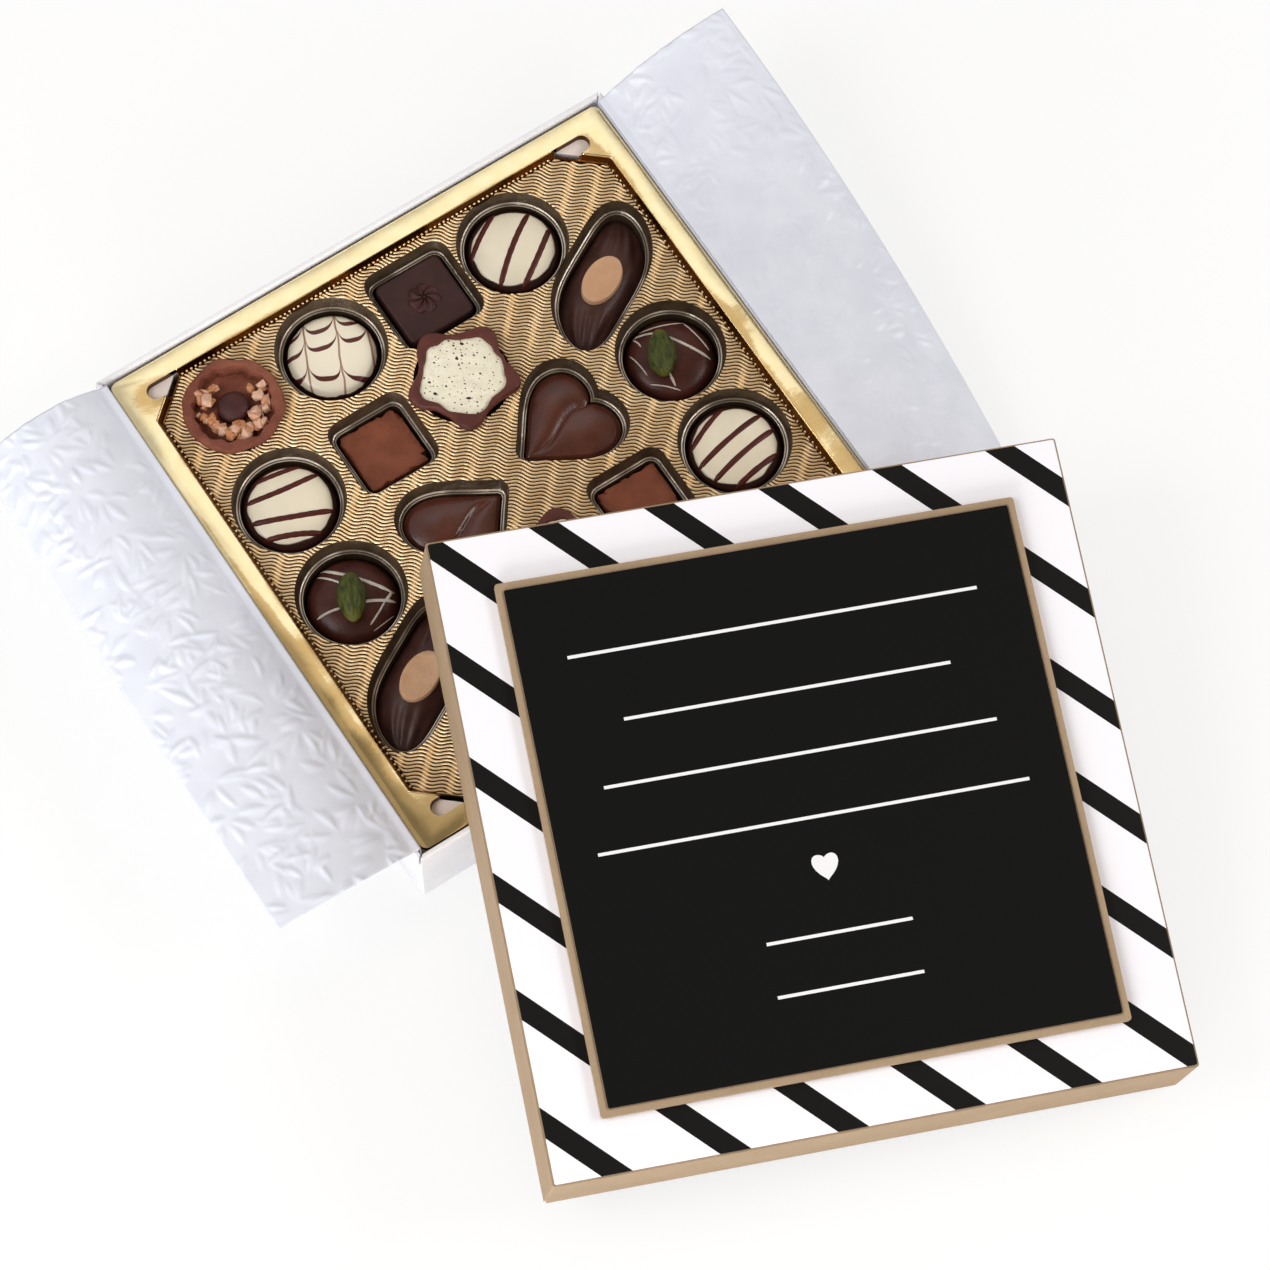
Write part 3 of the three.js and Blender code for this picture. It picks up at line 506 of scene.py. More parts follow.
def kernel_skin(green, yellow, purple):
    """Paint of the green kernel: darker in its wrinkles, yellowish towards the ends."""
    def paint(s):
        at = s.local()
        ends = abs(s.part(at, 0)).eased(3.2, 5.8)
        wrinkle = s.noise(s.stretched(at, (0.5, 1.5, 1.5)), 0.9, 4.0)
        body = wrinkle.eased(0.25, 0.7).mixed(purple, green)
        return {
            "Base Color": (ends * 0.6).mixed(body, yellow),
            "Roughness": 0.5 + wrinkle * 0.2,
            "Normal": s.bump(wrinkle, 0.4),
        }
    return paint


def pearl(colour, shadow):
    """Paint of the embossed paper."""
    def paint(s):
        at = s.place()
        cloud = s.noise(at, 0.12, 3.0)
        fine = s.noise(at, 4.0, 3.0)
        return {
            "Base Color": cloud.eased(0.3, 0.7).mixed(shadow, colour),
            "Roughness": 0.3 + fine * 0.14,
            "Normal": s.bump(fine, 0.02),
        }
    return paint


def striped(paper, ink, offset):
    """Paint of the lid's printed sheet: slanted stripes, one of them from the back left corner."""
    def paint(s):
        at = s.local()
        along = (s.part(at, 0) + s.part(at, 1) + offset) / math.sqrt(2)
        near = abs((along / STRIPE_PITCH + 0.5).fract() - 0.5) * STRIPE_PITCH
        cloud = s.noise(at, 0.3, 3.0)
        return {
            "Base Color": (near < STRIPE_W / 2).mixed(paper, ink),
            "Roughness": 0.45 + cloud * 0.1,
        }
    return paint


def ruled(ink, paper):
    """Paint of the plaque: plain ruled lines and a small heart."""
    def paint(s):
        at = s.local()
        x = s.part(at, 0)
        y = s.part(at, 1)
        marks = []
        for middle, length in LONG_RULES + SHORT_RULES:
            marks.append((abs(x) < length / 2) * (abs(y - middle) < RULE_W / 2))
        half = PRINT_HEART / 2
        hx = abs(x) / half
        hy = (y - HEART_Y) / half - 0.05
        lobe = hy * 1.15 - (hx ** 0.6667) * 0.72
        marks.append((hx * hx + lobe * lobe) < 1.0)
        cloud = s.noise(at, 0.4, 3.0)
        return {
            "Base Color": any_of(marks).mixed(ink, paper),
            "Roughness": 0.5 + cloud * 0.12,
        }
    return paint


BLACK = srgb(17, 17, 17)
WHITE = srgb(247, 246, 252)
DARK = srgb(54, 27, 23)
REDDISH = srgb(86, 31, 24)
CREAM = srgb(243, 234, 212)
CREAM_DEEP = srgb(234, 224, 200)

# Cartons and paper
WHITE_BOARD = finish(
    "white_board", "white_board", board(srgb(248, 248, 252), srgb(238, 238, 243), 1.2), Roughness=0.6)
KRAFT_BOARD = finish(
    "kraft_board", "kraft_board", board(srgb(172, 147, 118), srgb(163, 138, 109), 0.9), Roughness=0.75)
BLACK_PRINT = finish(
    "black_print", "black_print", ruled(BLACK, srgb(240, 240, 242)), Specular_IOR_Level=0.08)
PEARL_PAPER = finish(
    "embossed_paper", "embossed_paper", pearl(srgb(233, 237, 249), srgb(226, 230, 243)), Coat_Weight=0.15)

# Gold insert, darker or paler by height: the darker bands are painted shade, the pale band is the slot
# floor
RIM_BANDS = (
    # Painted shade: dark brown on the rim's rounded edge and everything below it
    (RIM_Z - 0.22, RIM_Z - 0.06, srgb(84, 54, 26)),
    (RIM_Z - SLOT_DEPTH + 0.02, RIM_Z - SLOT_DEPTH + 0.12, srgb(238, 224, 216)),
)
# Painted shade: dark brown on the step wall below its top
STEP_SHADE_BANDS = ((RIM_Z - 0.34, RIM_Z - 0.14, srgb(92, 56, 24)),)
RIM_GOLD = finish(
    "rim_gold", "gold_foil",
    gold(srgb(254, 238, 192), srgb(252, 230, 178), 0.08, 1.7, RIM_BANDS, RIM_Z - SLOT_DEPTH + 0.02))
# Panel: crest colours, the painted valley shade, and the pale colour of the painted light streaks
PANEL_GOLD = finish(
    "panel_gold", "gold_foil",
    waved(srgb(248, 220, 178), srgb(236, 202, 152), srgb(48, 27, 10), srgb(240, 212, 162)), Metallic=0.5)
STEP_GOLD = finish(
    "step_gold", "gold_foil", gold(srgb(252, 226, 172), srgb(246, 214, 150), 0.2, 0.5, STEP_SHADE_BANDS),
    Metallic=1.0)
STUD_GOLD = finish(
    "stud_gold", "gold_foil", gold(srgb(252, 232, 186), srgb(240, 208, 150), 0.25, 0.5), Metallic=1.0)
# Pocket walls: dull brown as painted shade, and a pale painted highlight on the ledge edges
POCKET_GOLD = finish(
    "pocket_gold", "gold_foil", pocketed(srgb(88, 71, 53), srgb(70, 56, 42), srgb(226, 214, 198)),
    Metallic=0.35)

# Chocolates
DARK_CHOCOLATE = finish(
    "dark_chocolate", "dark_chocolate", chocolate(srgb(78, 40, 33), srgb(62, 31, 25), 0.22),
    Specular_IOR_Level=0.25)
FLUTED_CHOCOLATE = finish(
    "fluted_chocolate", "dark_chocolate", chocolate(srgb(78, 49, 44), srgb(64, 39, 34), 0.28),
    Specular_IOR_Level=0.3)
SATIN_CHOCOLATE = finish(
    "satin_chocolate", "dark_chocolate", chocolate(srgb(64, 37, 35), srgb(54, 31, 29), 0.4),
    Specular_IOR_Level=0.3)
MATT_CHOCOLATE = finish(
    "matt_chocolate", "dark_chocolate", chocolate(srgb(72, 36, 33), srgb(58, 28, 26), 0.42, 0.1),
    Specular_IOR_Level=0.3)
MILK_CHOCOLATE = finish(
    "milk_chocolate", "milk_chocolate", chocolate(srgb(134, 74, 50), srgb(118, 62, 41), 0.42, 0.12),
    Specular_IOR_Level=0.3)
CUP_CHOCOLATE = finish(
    "cup_chocolate", "milk_chocolate", chocolate(srgb(138, 80, 60), srgb(116, 62, 46), 0.5, 0.25),
    Specular_IOR_Level=0.3)
STAR_CHOCOLATE = finish(
    "star_chocolate", "milk_chocolate", chocolate(srgb(96, 47, 38), srgb(82, 38, 31), 0.42, 0.12),
    Specular_IOR_Level=0.35)
BROWN_CHOCOLATE = finish(
    "brown_chocolate", "brown_chocolate", chocolate(srgb(86, 40, 27), srgb(72, 32, 21), 0.22),
    Specular_IOR_Level=0.4, Coat_Weight=0.35, Coat_Roughness=0.16)
TAN_CHOCOLATE = finish(
    "tan_chocolate", "tan_chocolate", chocolate(srgb(208, 166, 130), srgb(198, 152, 116), 0.45, 0.12))
CAPPED = finish("white_cap", "white_chocolate", capped(ROUND_CAP_R, CREAM, CREAM_DEEP, DARK))
FEATHERED = finish(
    "feathered_icing", "white_chocolate", feathered(CREAM, srgb(146, 84, 62), REDDISH, DARK))
RED_DRIZZLE = finish(
    "dark_drizzle", "dark_chocolate", chocolate(REDDISH, srgb(72, 25, 19), 0.3),
    Specular_IOR_Level=0.3)
PALE_DRIZZLE = finish(
    "pale_drizzle", "white_chocolate", chocolate(srgb(206, 200, 190), srgb(182, 172, 160), 0.4))
FILLING = finish(
    "specked_filling", "white_chocolate",
    specked(srgb(246, 240, 218), srgb(240, 232, 208), srgb(40, 24, 20)))
NUTS = finish("nut", "nut", toasted(srgb(214, 172, 146), srgb(190, 126, 82), srgb(120, 66, 38)))
KERNEL = finish(
    "pistachio", "pistachio", kernel_skin(srgb(72, 80, 14), srgb(108, 106, 28), srgb(36, 42, 6)),
    Specular_IOR_Level=0.4)


def piece(name, bm, material, body, place=None, nodes=(), sharp=38):
    """The finished object of a piece built in its own frame, in millimetres."""
    layer = bm.verts.layers.float_vector.new("local")
    for vert in bm.verts:
        vert[layer] = vert.co
    bmesh.ops.transform(bm, matrix=Matrix.Scale(MM, 4) @ (place or Matrix()), verts=bm.verts)
    mesh = bpy.data.meshes.new(name)
    bm.to_mesh(mesh)
    bm.free()
    mesh.materials.append(material)
    mesh.shade_smooth()
    mesh.set_sharp_from_angle(angle=math.radians(sharp))
    obj = bpy.data.objects.new(name, mesh)
    bpy.context.collection.objects.link(obj)
    if body:
        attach(obj, body)
    if nodes:
        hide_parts(*nodes)
    return obj


def circle(radius, count):
    return [(radius * math.cos(TAU * i / count), radius * math.sin(TAU * i / count)) for i in range(count)]


def rounded_rect(width, length, radius, steps=6):
    """Outline of a rectangle with rounded corners, from the right side, anticlockwise."""
    points = []
    for turn, (sx, sy) in enumerate(((1, 1), (-1, 1), (-1, -1), (1, -1))):
        for i in range(steps + 1):
            angle = (turn + i / steps) * math.pi / 2
            points.append((
                sx * (width / 2 - radius) + radius * math.cos(angle),
                sy * (length / 2 - radius) + radius * math.sin(angle)))
    return points


def walked(outline, step):
    """Points along a closed outline, about a step apart."""
    ends = np.array(list(outline) + [outline[0]])
    run = np.concatenate([[0], np.cumsum(np.hypot(*np.diff(ends, axis=0).T))])
    count = 4 * round(run[-1] / step / 4)
    at = np.arange(count) * run[-1] / count
    return np.stack([np.interp(at, run, ends[:, 0]), np.interp(at, run, ends[:, 1])], 1)


def swollen(outline, distance, count=POCKET_POINTS):
    """Outline grown outwards by the same distance everywhere, as seen from its middle."""
    spots = walked(outline, 0.2)
    angles = np.arange(count) * TAU / count
    rays = np.stack([np.cos(angles), np.sin(angles)], 1)
    ahead = rays @ spots.T
    aside = rays[:, :1] * spots[:, 1] - rays[:, 1:] * spots[:, 0]
    deep = np.sqrt(np.maximum(distance ** 2 - aside ** 2, 0))
    reach = np.where(np.abs(aside) < distance, ahead + deep, 0).max(axis=1)
    return rays * reach[:, None]


def level(outline, z, scale=1.0):
    return [Vector((x * scale, y * scale, z)) for x, y in outline]


def loft(bm, levels, first=True, last=True):
    """Skin over closed loops of equal count, each extruded from the one before, with the ends filled."""
    ring = [bm.verts.new(point) for point in levels[0]]
    start = list(ring)
    edges = [bm.edges.new(pair) for pair in zip(ring, ring[1:] + ring[:1])]
    for points in levels[1:]:
        made = bmesh.ops.extrude_edge_only(bm, edges=edges)["geom"]
        fresh = {item for item in made if isinstance(item, bmesh.types.BMVert)}
        ring = [next(e.other_vert(v) for e in v.link_edges if e.other_vert(v) in fresh) for v in ring]
        edges = [bm.edges.get(pair) for pair in zip(ring, ring[1:] + ring[:1])]
        for vert, point in zip(ring, points):
            vert.co = point
    if first:
        bm.faces.new(start)
    if last:
        bm.faces.new(ring)
    bmesh.ops.recalc_face_normals(bm, faces=bm.faces)
    return bm


def curve(points, per=5):
    """A smooth curve through profile points."""
    spots = [Vector(point) for point in points]
    out = []
    for i in range(len(spots) - 1):
        before = spots[max(i - 1, 0)]
        after = spots[min(i + 2, len(spots) - 1)]
        a, b = spots[i], spots[i + 1]
        for k in range(per):
            t = k / per
            lead = (b - before) / 2
            tail = (after - a) / 2
            out.append(
                a * (2 * t ** 3 - 3 * t ** 2 + 1) + lead * (t ** 3 - 2 * t ** 2 + t)
                + b * (3 * t ** 2 - 2 * t ** 3) + tail * (t ** 3 - t ** 2))
    out.append(spots[-1])
    return out


def spun(bm, profile, steps=72):
    """Solid turned from a profile of radius and height that starts and ends on the axis."""
    verts = [bm.verts.new((max(r, 0), 0, z)) for r, z in profile]
    edges = [bm.edges.new(pair) for pair in zip(verts, verts[1:])]
    bmesh.ops.spin(
        bm, geom=verts + edges, cent=(0, 0, 0), axis=(0, 0, 1), angle=TAU, steps=steps, use_merge=True)
    bmesh.ops.remove_doubles(bm, verts=bm.verts, dist=1e-4)
    bmesh.ops.recalc_face_normals(bm, faces=bm.faces)
    return bm


def tube(bm, path, width, thick):
    """A drizzled line along a path of points and surface normals, thinner at its ends."""
    levels = []
    for i, (spot, normal) in enumerate(path):
        ahead = path[min(i + 1, len(path) - 1)][0] - path[max(i - 1, 0)][0]
        side = ahead.cross(normal).normalized()
        end = min(i, len(path) - 1 - i)
        size = min(1.0, 0.35 + 0.3 * end) * (1 + 0.05 * math.sin(i * 1.3 + spot.x))
        levels.append([
            spot + side * (width / 2 * size * across) + normal * (thick * size * up)
            for across, up in circle(1, 8)])
    return loft(bm, levels)


def carved(solid, cutters, operation="DIFFERENCE"):
    """Mesh of a solid once the cutters have been taken from it, or kept to, one after another."""
    shapes = []
    for bm in (solid, *cutters):
        mesh = bpy.data.meshes.new("shape")
        bm.to_mesh(mesh)
        bm.free()
        shapes.append(bpy.data.objects.new("shape", mesh))
        bpy.context.collection.objects.link(shapes[-1])
    for cutter in shapes[1:]:
        cut = shapes[0].modifiers.new("cut", "BOOLEAN")
        cut.operation = operation
        cut.solver = "MANIFOLD"
        cut.object = cutter
    graph = bpy.context.evaluated_depsgraph_get()
    result = bmesh.new()
    result.from_mesh(shapes[0].evaluated_get(graph).to_mesh())
    for shape in shapes:
        bpy.data.objects.remove(shape)
    return result


def heart_outline(size, count=24):
    """Outline of the heart with its tip towards -X."""
    half = size / 2
    arcs = (
        ((0.62, 0), (0.95, 0.12), (1.02, 0.95), (0.38, 1.02)),
        ((0.38, 1.02), (-0.12, 1.06), (-0.52, 0.5), (-1.05, 0.06)),
        ((-1.05, 0.06), (-1.1, 0.02), (-1.1, -0.02), (-1.05, -0.06)),
        ((-1.05, -0.06), (-0.52, -0.5), (-0.12, -1.06), (0.38, -1.02)),
        ((0.38, -1.02), (1.02, -0.95), (0.95, -0.12), (0.62, 0)),
    )
    points = []
    for arc in arcs:
        knots = [Vector((x * half, y * half)) for x, y in arc]
        points += [tuple(p) for p in geometry.interpolate_bezier(*knots, count)[:-1]]
    return points


def boat_outline(length, width, count=96):
    """Outline of the boat: an oval drawn out to one side at each end."""
    points = []
    for i in range(count):
        along = math.cos(TAU * i / count)
        bend = BOAT_BEND * math.sin(math.pi * along)
        points.append((along * length / 2, math.sin(TAU * i / count) * width / 2 - bend))
    return points


def star_outline(span, wander=0.0, seed=0, count=160, dip=STAR_DIP):
    """Outline of the star cup: five soft points, with an edge that wanders."""
    points = []
    for x, y in circle(1, count):
        share = (0.5 + 0.5 * math.cos(5 * math.atan2(y, x))) ** 1.3
        drift = wander * noise.noise(Vector((x * 3.2, y * 3.2, seed * 7.3)))
        radius = span / 2 - dip * (1 - share) + drift
        points.append((x * radius, y * radius))
    return points


def seat(node, outline, turn):
    """Placement of a praline's own frame, from the plan box of its CAD solid."""
    low, high = corners(node)
    spin = Matrix.Rotation(turn, 2)
    spots = [spin @ Vector(point) for point in outline]
    x = (low.x + high.x - min(p.x for p in spots) - max(p.x for p in spots)) / 2
    y = (low.y + high.y - min(p.y for p in spots) - max(p.y for p in spots)) / 2
    return Matrix.Translation((x, y, low.z)) @ Matrix.Rotation(turn, 4, "Z")


ROUND = circle(ROUND_R, 96)
DOME = circle(DOME_R, 96)
CUP_FOOT = circle(CUP_FOOT_D / 2, 96)
NUT_BRIM = circle(NUT_BRIM_R, 96)
DARK_SQUARE = rounded_rect(DARK_SIDE, DARK_SIDE, SQUARE_CORNER)
MILK_SQUARE = rounded_rect(MILK_SIDE, MILK_SIDE, SQUARE_CORNER)
BOAT = boat_outline(BOAT_L, BOAT_W)
BOAT_POCKET = boat_outline(BOAT_L - 2 * BOAT_SNUG, BOAT_W - 2 * BOAT_SNUG)
HEART_SHOWN = HEART_SIZE + HEART_SWELL
HEART_POCKET = heart_outline(HEART_SHOWN - 2 * HEART_SNUG)

# Node that gives the place, outline of that node, outline of the pocket, turn, how many
KINDS = {
    "nut": ("nut_cup", NUT_BRIM, CUP_FOOT, 0.0, 2),
    "feathered": ("feathered", ROUND, ROUND, 0.0, 2),
    "dark_square": ("dark_square", DARK_SQUARE, DARK_SQUARE, 0.0, 2),
    "striped": ("striped", ROUND, ROUND, 0.0, 4),
    "boat": ("boat", BOAT, BOAT_POCKET, BOAT_TURN, 2),
    "pistachio": ("pistachio_dome", DOME, DOME, 0.0, 2),
    "milk_square": ("milk_square", MILK_SQUARE, MILK_SQUARE, 0.0, 2),
    "star": ("star_cup", star_outline(STAR_SPAN), CUP_FOOT, STAR_TURN, 2),
    "heart": ("heart", heart_outline(HEART_SIZE), HEART_POCKET, HEART_TURN, 2),
}


def places():
    """Every praline's body name, kind, number, placement and height."""
    for kind, (node, outline, _, turn, count) in KINDS.items():
        for number in range(1, count + 1):
            half_turn = math.pi if number > count / 2 else 0.0
            name = f"{node}_{number}"
            low, high = corners(name)
            yield f"{kind}_{number}", kind, number, seat(name, outline, turn + half_turn), high.z - low.z


def slanted_panel(width, length):
    """Outline of the sunk panel: a rectangle with slanted corners."""
    x, y = width / 2, length / 2
    corner = [(x, y - PANEL_CORNER_Y), (x - PANEL_CORNER_X, y)]
    half = corner + [(-px, py) for px, py in reversed(corner)]
    return half + [(-px, -py) for px, py in half]


def edged(outline, step):
    """Points along a closed outline about a step apart, and the way out at each of them."""
    spots = walked(outline, step)
    ahead = np.roll(spots, -1, axis=0) - np.roll(spots, 1, axis=0)
    ahead /= np.hypot(ahead[:, 0], ahead[:, 1])[:, None]
    return spots, np.stack([ahead[:, 1], -ahead[:, 0]], 1)


def insert_rim():
    """Smooth rim and skirt round the sunk panel, with a finger slot at each corner."""
    outer = rounded_rect(INSERT_W, INSERT_L, RIM_CORNER_R)
    block = loft(bmesh.new(), [
        level(outer, INSERT_LOW.z),
        level(outer, RIM_Z - 0.3),
        level(rounded_rect(INSERT_W - 0.15, INSERT_L - 0.15, RIM_CORNER_R - 0.08), RIM_Z - 0.08),
        level(rounded_rect(INSERT_W - 0.5, INSERT_L - 0.5, RIM_CORNER_R - 0.25), RIM_Z)])
    hole = slanted_panel(PANEL_W + 2 * STEP_DRAFT, PANEL_L + 2 * STEP_DRAFT)
    recess = loft(bmesh.new(), [level(hole, INSERT_LOW.z - 2), level(hole, RIM_Z + 1)])
    slots = []
    for sx in (-1, 1):
        for sy in (-1, 1):
            shape = rounded_rect(SLOT_L, SLOT_W, SLOT_W / 2 - 0.05)
            middle = Vector((
                sx * (PANEL_W / 2 - SLOT_INSET - SLOT_L / 2),
                sy * (PANEL_L / 2 + STEP_DRAFT - SLOT_W / 2), 0))
            rings = [
                level(shape, RIM_Z - SLOT_DEPTH, 0.94),
                level(shape, RIM_Z - 0.2),
                level(shape, RIM_Z + 1, 1.06)]
            slots.append(loft(bmesh.new(), [[point + middle for point in ring] for ring in rings]))
    return carved(block, [recess, *slots])


def step_foot(out):
    """How far the foot of the step reaches in, along X and Y, where the way out is given."""
    sideways = np.where(out[:, 0] > 0, STEP_FOOT_RIGHT, STEP_FOOT_LEFT)
    return np.stack([sideways, np.full(len(out), STEP_FOOT_Y)], 1)


def step_wall():
    """Wall between the rim and the sunk panel, with a lip over the rim's edge, open at the slots."""
    spots, out = edged(slanted_panel(PANEL_W, PANEL_L), 0.4)
    foot = step_foot(out)
    levels = [level(spots + out * (far - share * foot), PANEL_Z + up) for share, far, up in STEP_PROFILE]
    bm = loft(bmesh.new(), levels, False, False)
    inside = []
    for face in bm.faces:
        at = face.calc_center_median()
        slanted = abs(at.x) > PANEL_W / 2 - PANEL_CORNER_X and abs(at.y) > PANEL_L / 2 - SLOT_W + 0.3
        if slanted and at.z > RIM_Z - SLOT_DEPTH:
            inside.append(face)
    bmesh.ops.delete(bm, geom=inside, context="FACES")
    if sum(face.normal.dot(face.calc_center_median()) for face in bm.faces) > 0:
        bmesh.ops.reverse_faces(bm, faces=bm.faces)
    return bm


def step_studs():
    """Row of small studs along the straight sides of the step."""
    bm = bmesh.new()
    half_x = PANEL_W / 2 - PANEL_CORNER_X - 1
    half_y = PANEL_L / 2 - PANEL_CORNER_Y - 1
    spots = []
    for sign, foot in ((-1, STEP_FOOT_LEFT), (1, STEP_FOOT_RIGHT)):
        for x in np.arange(-half_x, half_x, STUD_PITCH_X):
            spots.append((x, sign * (PANEL_L / 2 - STEP_FOOT_Y / 2)))
        for y in np.arange(-half_y, half_y, STUD_PITCH_Y):
            spots.append((sign * (PANEL_W / 2 - foot / 2), y))
    for x, y in spots:
        lie = Matrix.Translation((x, y, PANEL_Z + STUD_RISE))
        bmesh.ops.create_uvsphere(bm, u_segments=8, v_segments=5, radius=STUD_R, matrix=lie)
    return bm


def wave_panel(pockets):
    """Sunk panel embossed with rows of waves, cut to its outline and opened over every pocket."""
    reach = 0.5 * math.hypot(PANEL_W, PANEL_L) + 4
    rows = round(2 * reach / WAVE_PITCH) * len(WAVE_ROWS)
    columns = round(2 * reach / WAVE_STEP)
    slab = bmesh.new()
    bmesh.ops.create_grid(slab, x_segments=columns, y_segments=rows, size=0.5)
    turn = Matrix.Rotation(WAVE_TURN, 2)
    for vert in slab.verts:
        row = round((vert.co.y + 0.5) * rows)
        across = row * WAVE_PITCH / len(WAVE_ROWS) - reach
        along = vert.co.x * 2 * reach
        drift = WAVE_DRIFT * math.sin(across * WAVE_DRIFT_RATE)
        swing = WAVE_SWING * math.sin(TAU * along / WAVE_LENGTH + drift)
        x, y = turn @ Vector((along, across + swing))
        vert.co = (x, y, PANEL_Z - WAVE_DEPTH * (1 - WAVE_ROWS[row % len(WAVE_ROWS)]))
    beyond = []
    for face in slab.faces:
        at = face.calc_center_median()
        if abs(at.x) > PANEL_W / 2 + 1 or abs(at.y) > PANEL_L / 2 + 1:
            beyond.append(face)
    bmesh.ops.delete(slab, geom=beyond, context="FACES")
    border = [edge for edge in slab.edges if edge.is_boundary]
    made = bmesh.ops.extrude_edge_only(slab, edges=border)["geom"]
    foot = {item for item in made if isinstance(item, bmesh.types.BMVert)}
    for vert in foot:
        vert.co.z = PANEL_Z - PANEL_SHEET
    bmesh.ops.edgeloop_fill(slab, edges=[edge for edge in slab.edges if foot.issuperset(edge.verts)])
    bmesh.ops.recalc_face_normals(slab, faces=slab.faces)
    spots, out = edged(slanted_panel(PANEL_W, PANEL_L), 0.4)
    edge = spots - out * step_foot(out) * 0.95
    keep = loft(bmesh.new(), [level(edge, PANEL_Z - 4), level(edge, PANEL_Z + 4)])
    panel = carved(slab, [keep], "INTERSECT")
    cutters = []
    for outline, place in pockets:
        ring = [place @ Vector((x, y, 0)) for x, y in swollen(outline, POCKET_LIP)]
        cutters.append(loft(bmesh.new(), [
            [Vector((p.x, p.y, PANEL_Z - 4)) for p in ring],
            [Vector((p.x, p.y, PANEL_Z + 4)) for p in ring]]))
    return carved(panel, cutters)


def pocket_shells(pockets):
    """Formed walls and floors of all the pockets, with the ledge that each one has half-way down."""
    bm = bmesh.new()
    for outline, place in pockets:
        floor = place.translation.z - POCKET_SEAT
        profile = [(out, PANEL_Z + drop) for out, drop in POCKET_PROFILE if PANEL_Z + drop > floor + 1.2]
        profile += [(0.28, floor + 0.9), (0.2, floor + 0.35)]
        shell = bmesh.new()
        levels = []
        for out, z in profile:
            ring = [place @ Vector((x, y, 0)) for x, y in swollen(outline, out)]
            levels.append([Vector((p.x, p.y, z)) for p in ring])
        middle = place.translation.xy.to_3d()
        levels.append([middle + (p.xy.to_3d() - middle) * 0.93 + Vector((0, 0, floor)) for p in levels[-1]])
        loft(shell, levels, first=False)
        if max(shell.faces, key=lambda face: len(face.verts)).normal.z < 0:
            bmesh.ops.reverse_faces(shell, faces=shell.faces)
        mesh = bpy.data.meshes.new("shell")
        shell.to_mesh(mesh)
        shell.free()
        bm.from_mesh(mesh)
        bpy.data.meshes.remove(mesh)
    # Marks the ledge edges, which get the painted highlight
    shine = bm.verts.layers.float.new("tone")
    for vert in bm.verts:
        vert[shine] = any(abs(vert.co.z - PANEL_Z - drop) < 0.01 for drop in POCKET_SHINE)
    return bm


def round_profile(radius, height, crown=0.9):
    return curve([
        (0, 0), (radius - 1.6, 0), (radius - 0.7, 0.5), (radius - 0.3, 2.0), (radius, height - 4.6),
        (radius - 0.18, height - 2.9), (radius - 0.8, height - 1.9), (radius - 2.2, height - crown),
        (radius * 0.42, height - 0.15), (0, height)])


def dome_profile(radius, height):
    return curve([
        (0, 0), (radius - 1.6, 0), (radius - 0.7, 0.5), (radius - 0.2, 2.0), (radius, height - 6.0),
        (radius * 0.97, height - 3.6), (radius * 0.82, height - 1.7), (radius * 0.5, height - 0.5),
        (0, height)])


def crown_of(profile):
    """Height and slope of a turned top at a radius."""
    widest = max(range(len(profile)), key=lambda i: profile[i][0])
    top = sorted((r, z) for r, z in profile[widest:])
    radii = [r for r, _ in top]
    heights = [z for _, z in top]

    def at(x, y):
        radius = math.hypot(x, y)
        z = float(np.interp(radius, radii, heights))
        drop = (float(np.interp(radius + 0.2, radii, heights)) - z) / 0.2
        steep = drop / max(radius, 0.01)
        return Vector((x, y, z)), Vector((-x * steep, -y * steep, 1)).normalized()
    return at


def drizzled(bm, crown, start, end, bow, width, thick, points=26):
    """One poured line over a turned top, from start to end in plan, bowed to its side."""
    start, end = Vector(start), Vector(end)
    side = Vector((start.y - end.y, end.x - start.x)).normalized()
    path = []
    for i in range(points):
        share = i / (points - 1)
        spot = start.lerp(end, share) + side * bow * math.sin(math.pi * share)
        path.append(crown(spot.x, spot.y))
    return tube(bm, path, width, thick)


def chord(turn, offset, radius, slant=0.0):
    """Ends of a line across a round top, at an angle and a distance from its middle."""
    ends = []
    for sign in (-1, 1):
        across = offset + sign * slant
        along = sign * math.sqrt(max(radius ** 2 - across ** 2, 0.1))
        ends.append((
            along * math.cos(turn) - across * math.sin(turn),
            along * math.sin(turn) + across * math.cos(turn)))
    return ends


# Drizzle of each striped praline: angle in the picture, offset, slant, bow
STRIPED_LINES = {
    1: ((58, 7.4, 0.8, 0.3), (67, -0.4, 0.5, 0.5), (66, -5.7, 0.2, -0.3)),
    2: ((20, 4.4, 0.6, -0.7), (8, -2.8, 0.2, -0.3), (7, -7.4, 0.0, 0.3), (22, 8.0, 0.0, 0.0)),
    3: ((62, 7.6, 0.4, 0.3), (66, 1.2, 0.4, 0.4), (64, -5.0, 0.2, -0.3)),
    4: ((50, 7.3, 0.5, 0.3), (41, 1.5, 0.2, 0.3), (41, -3.0, 0.2, 0.3), (40, -7.6, 0.0, 0.2)),
}


def upright(place):
    """A praline's placement, turned so that its X axis runs to the right in the picture."""
    return place @ Matrix.Rotation(PICTURE_RIGHT - place.to_euler().z, 4, "Z")


def striped_praline(body, number, place, height):
    profile = round_profile(ROUND_R, height)
    piece(body, spun(bmesh.new(), profile), CAPPED, body, place, [body])
    crown = crown_of(profile)
    lines = bmesh.new()
    own = place.to_euler().z
    for angle, offset, slant, bow in STRIPED_LINES[number]:
        start, end = chord(PICTURE_RIGHT + math.radians(angle) - own, offset, ROUND_LINES_R, slant)
        drizzled(lines, crown, start, end, bow, STRIPE_LINE_W, STRIPE_LINE_H)
    piece(f"{body}_lines", lines, RED_DRIZZLE, body, place)


def feathered_praline(body, number, place, height):
    bm = spun(bmesh.new(), round_profile(ROUND_R, height, 0.7))
    piece(body, bm, FEATHERED, body, upright(place), [body])


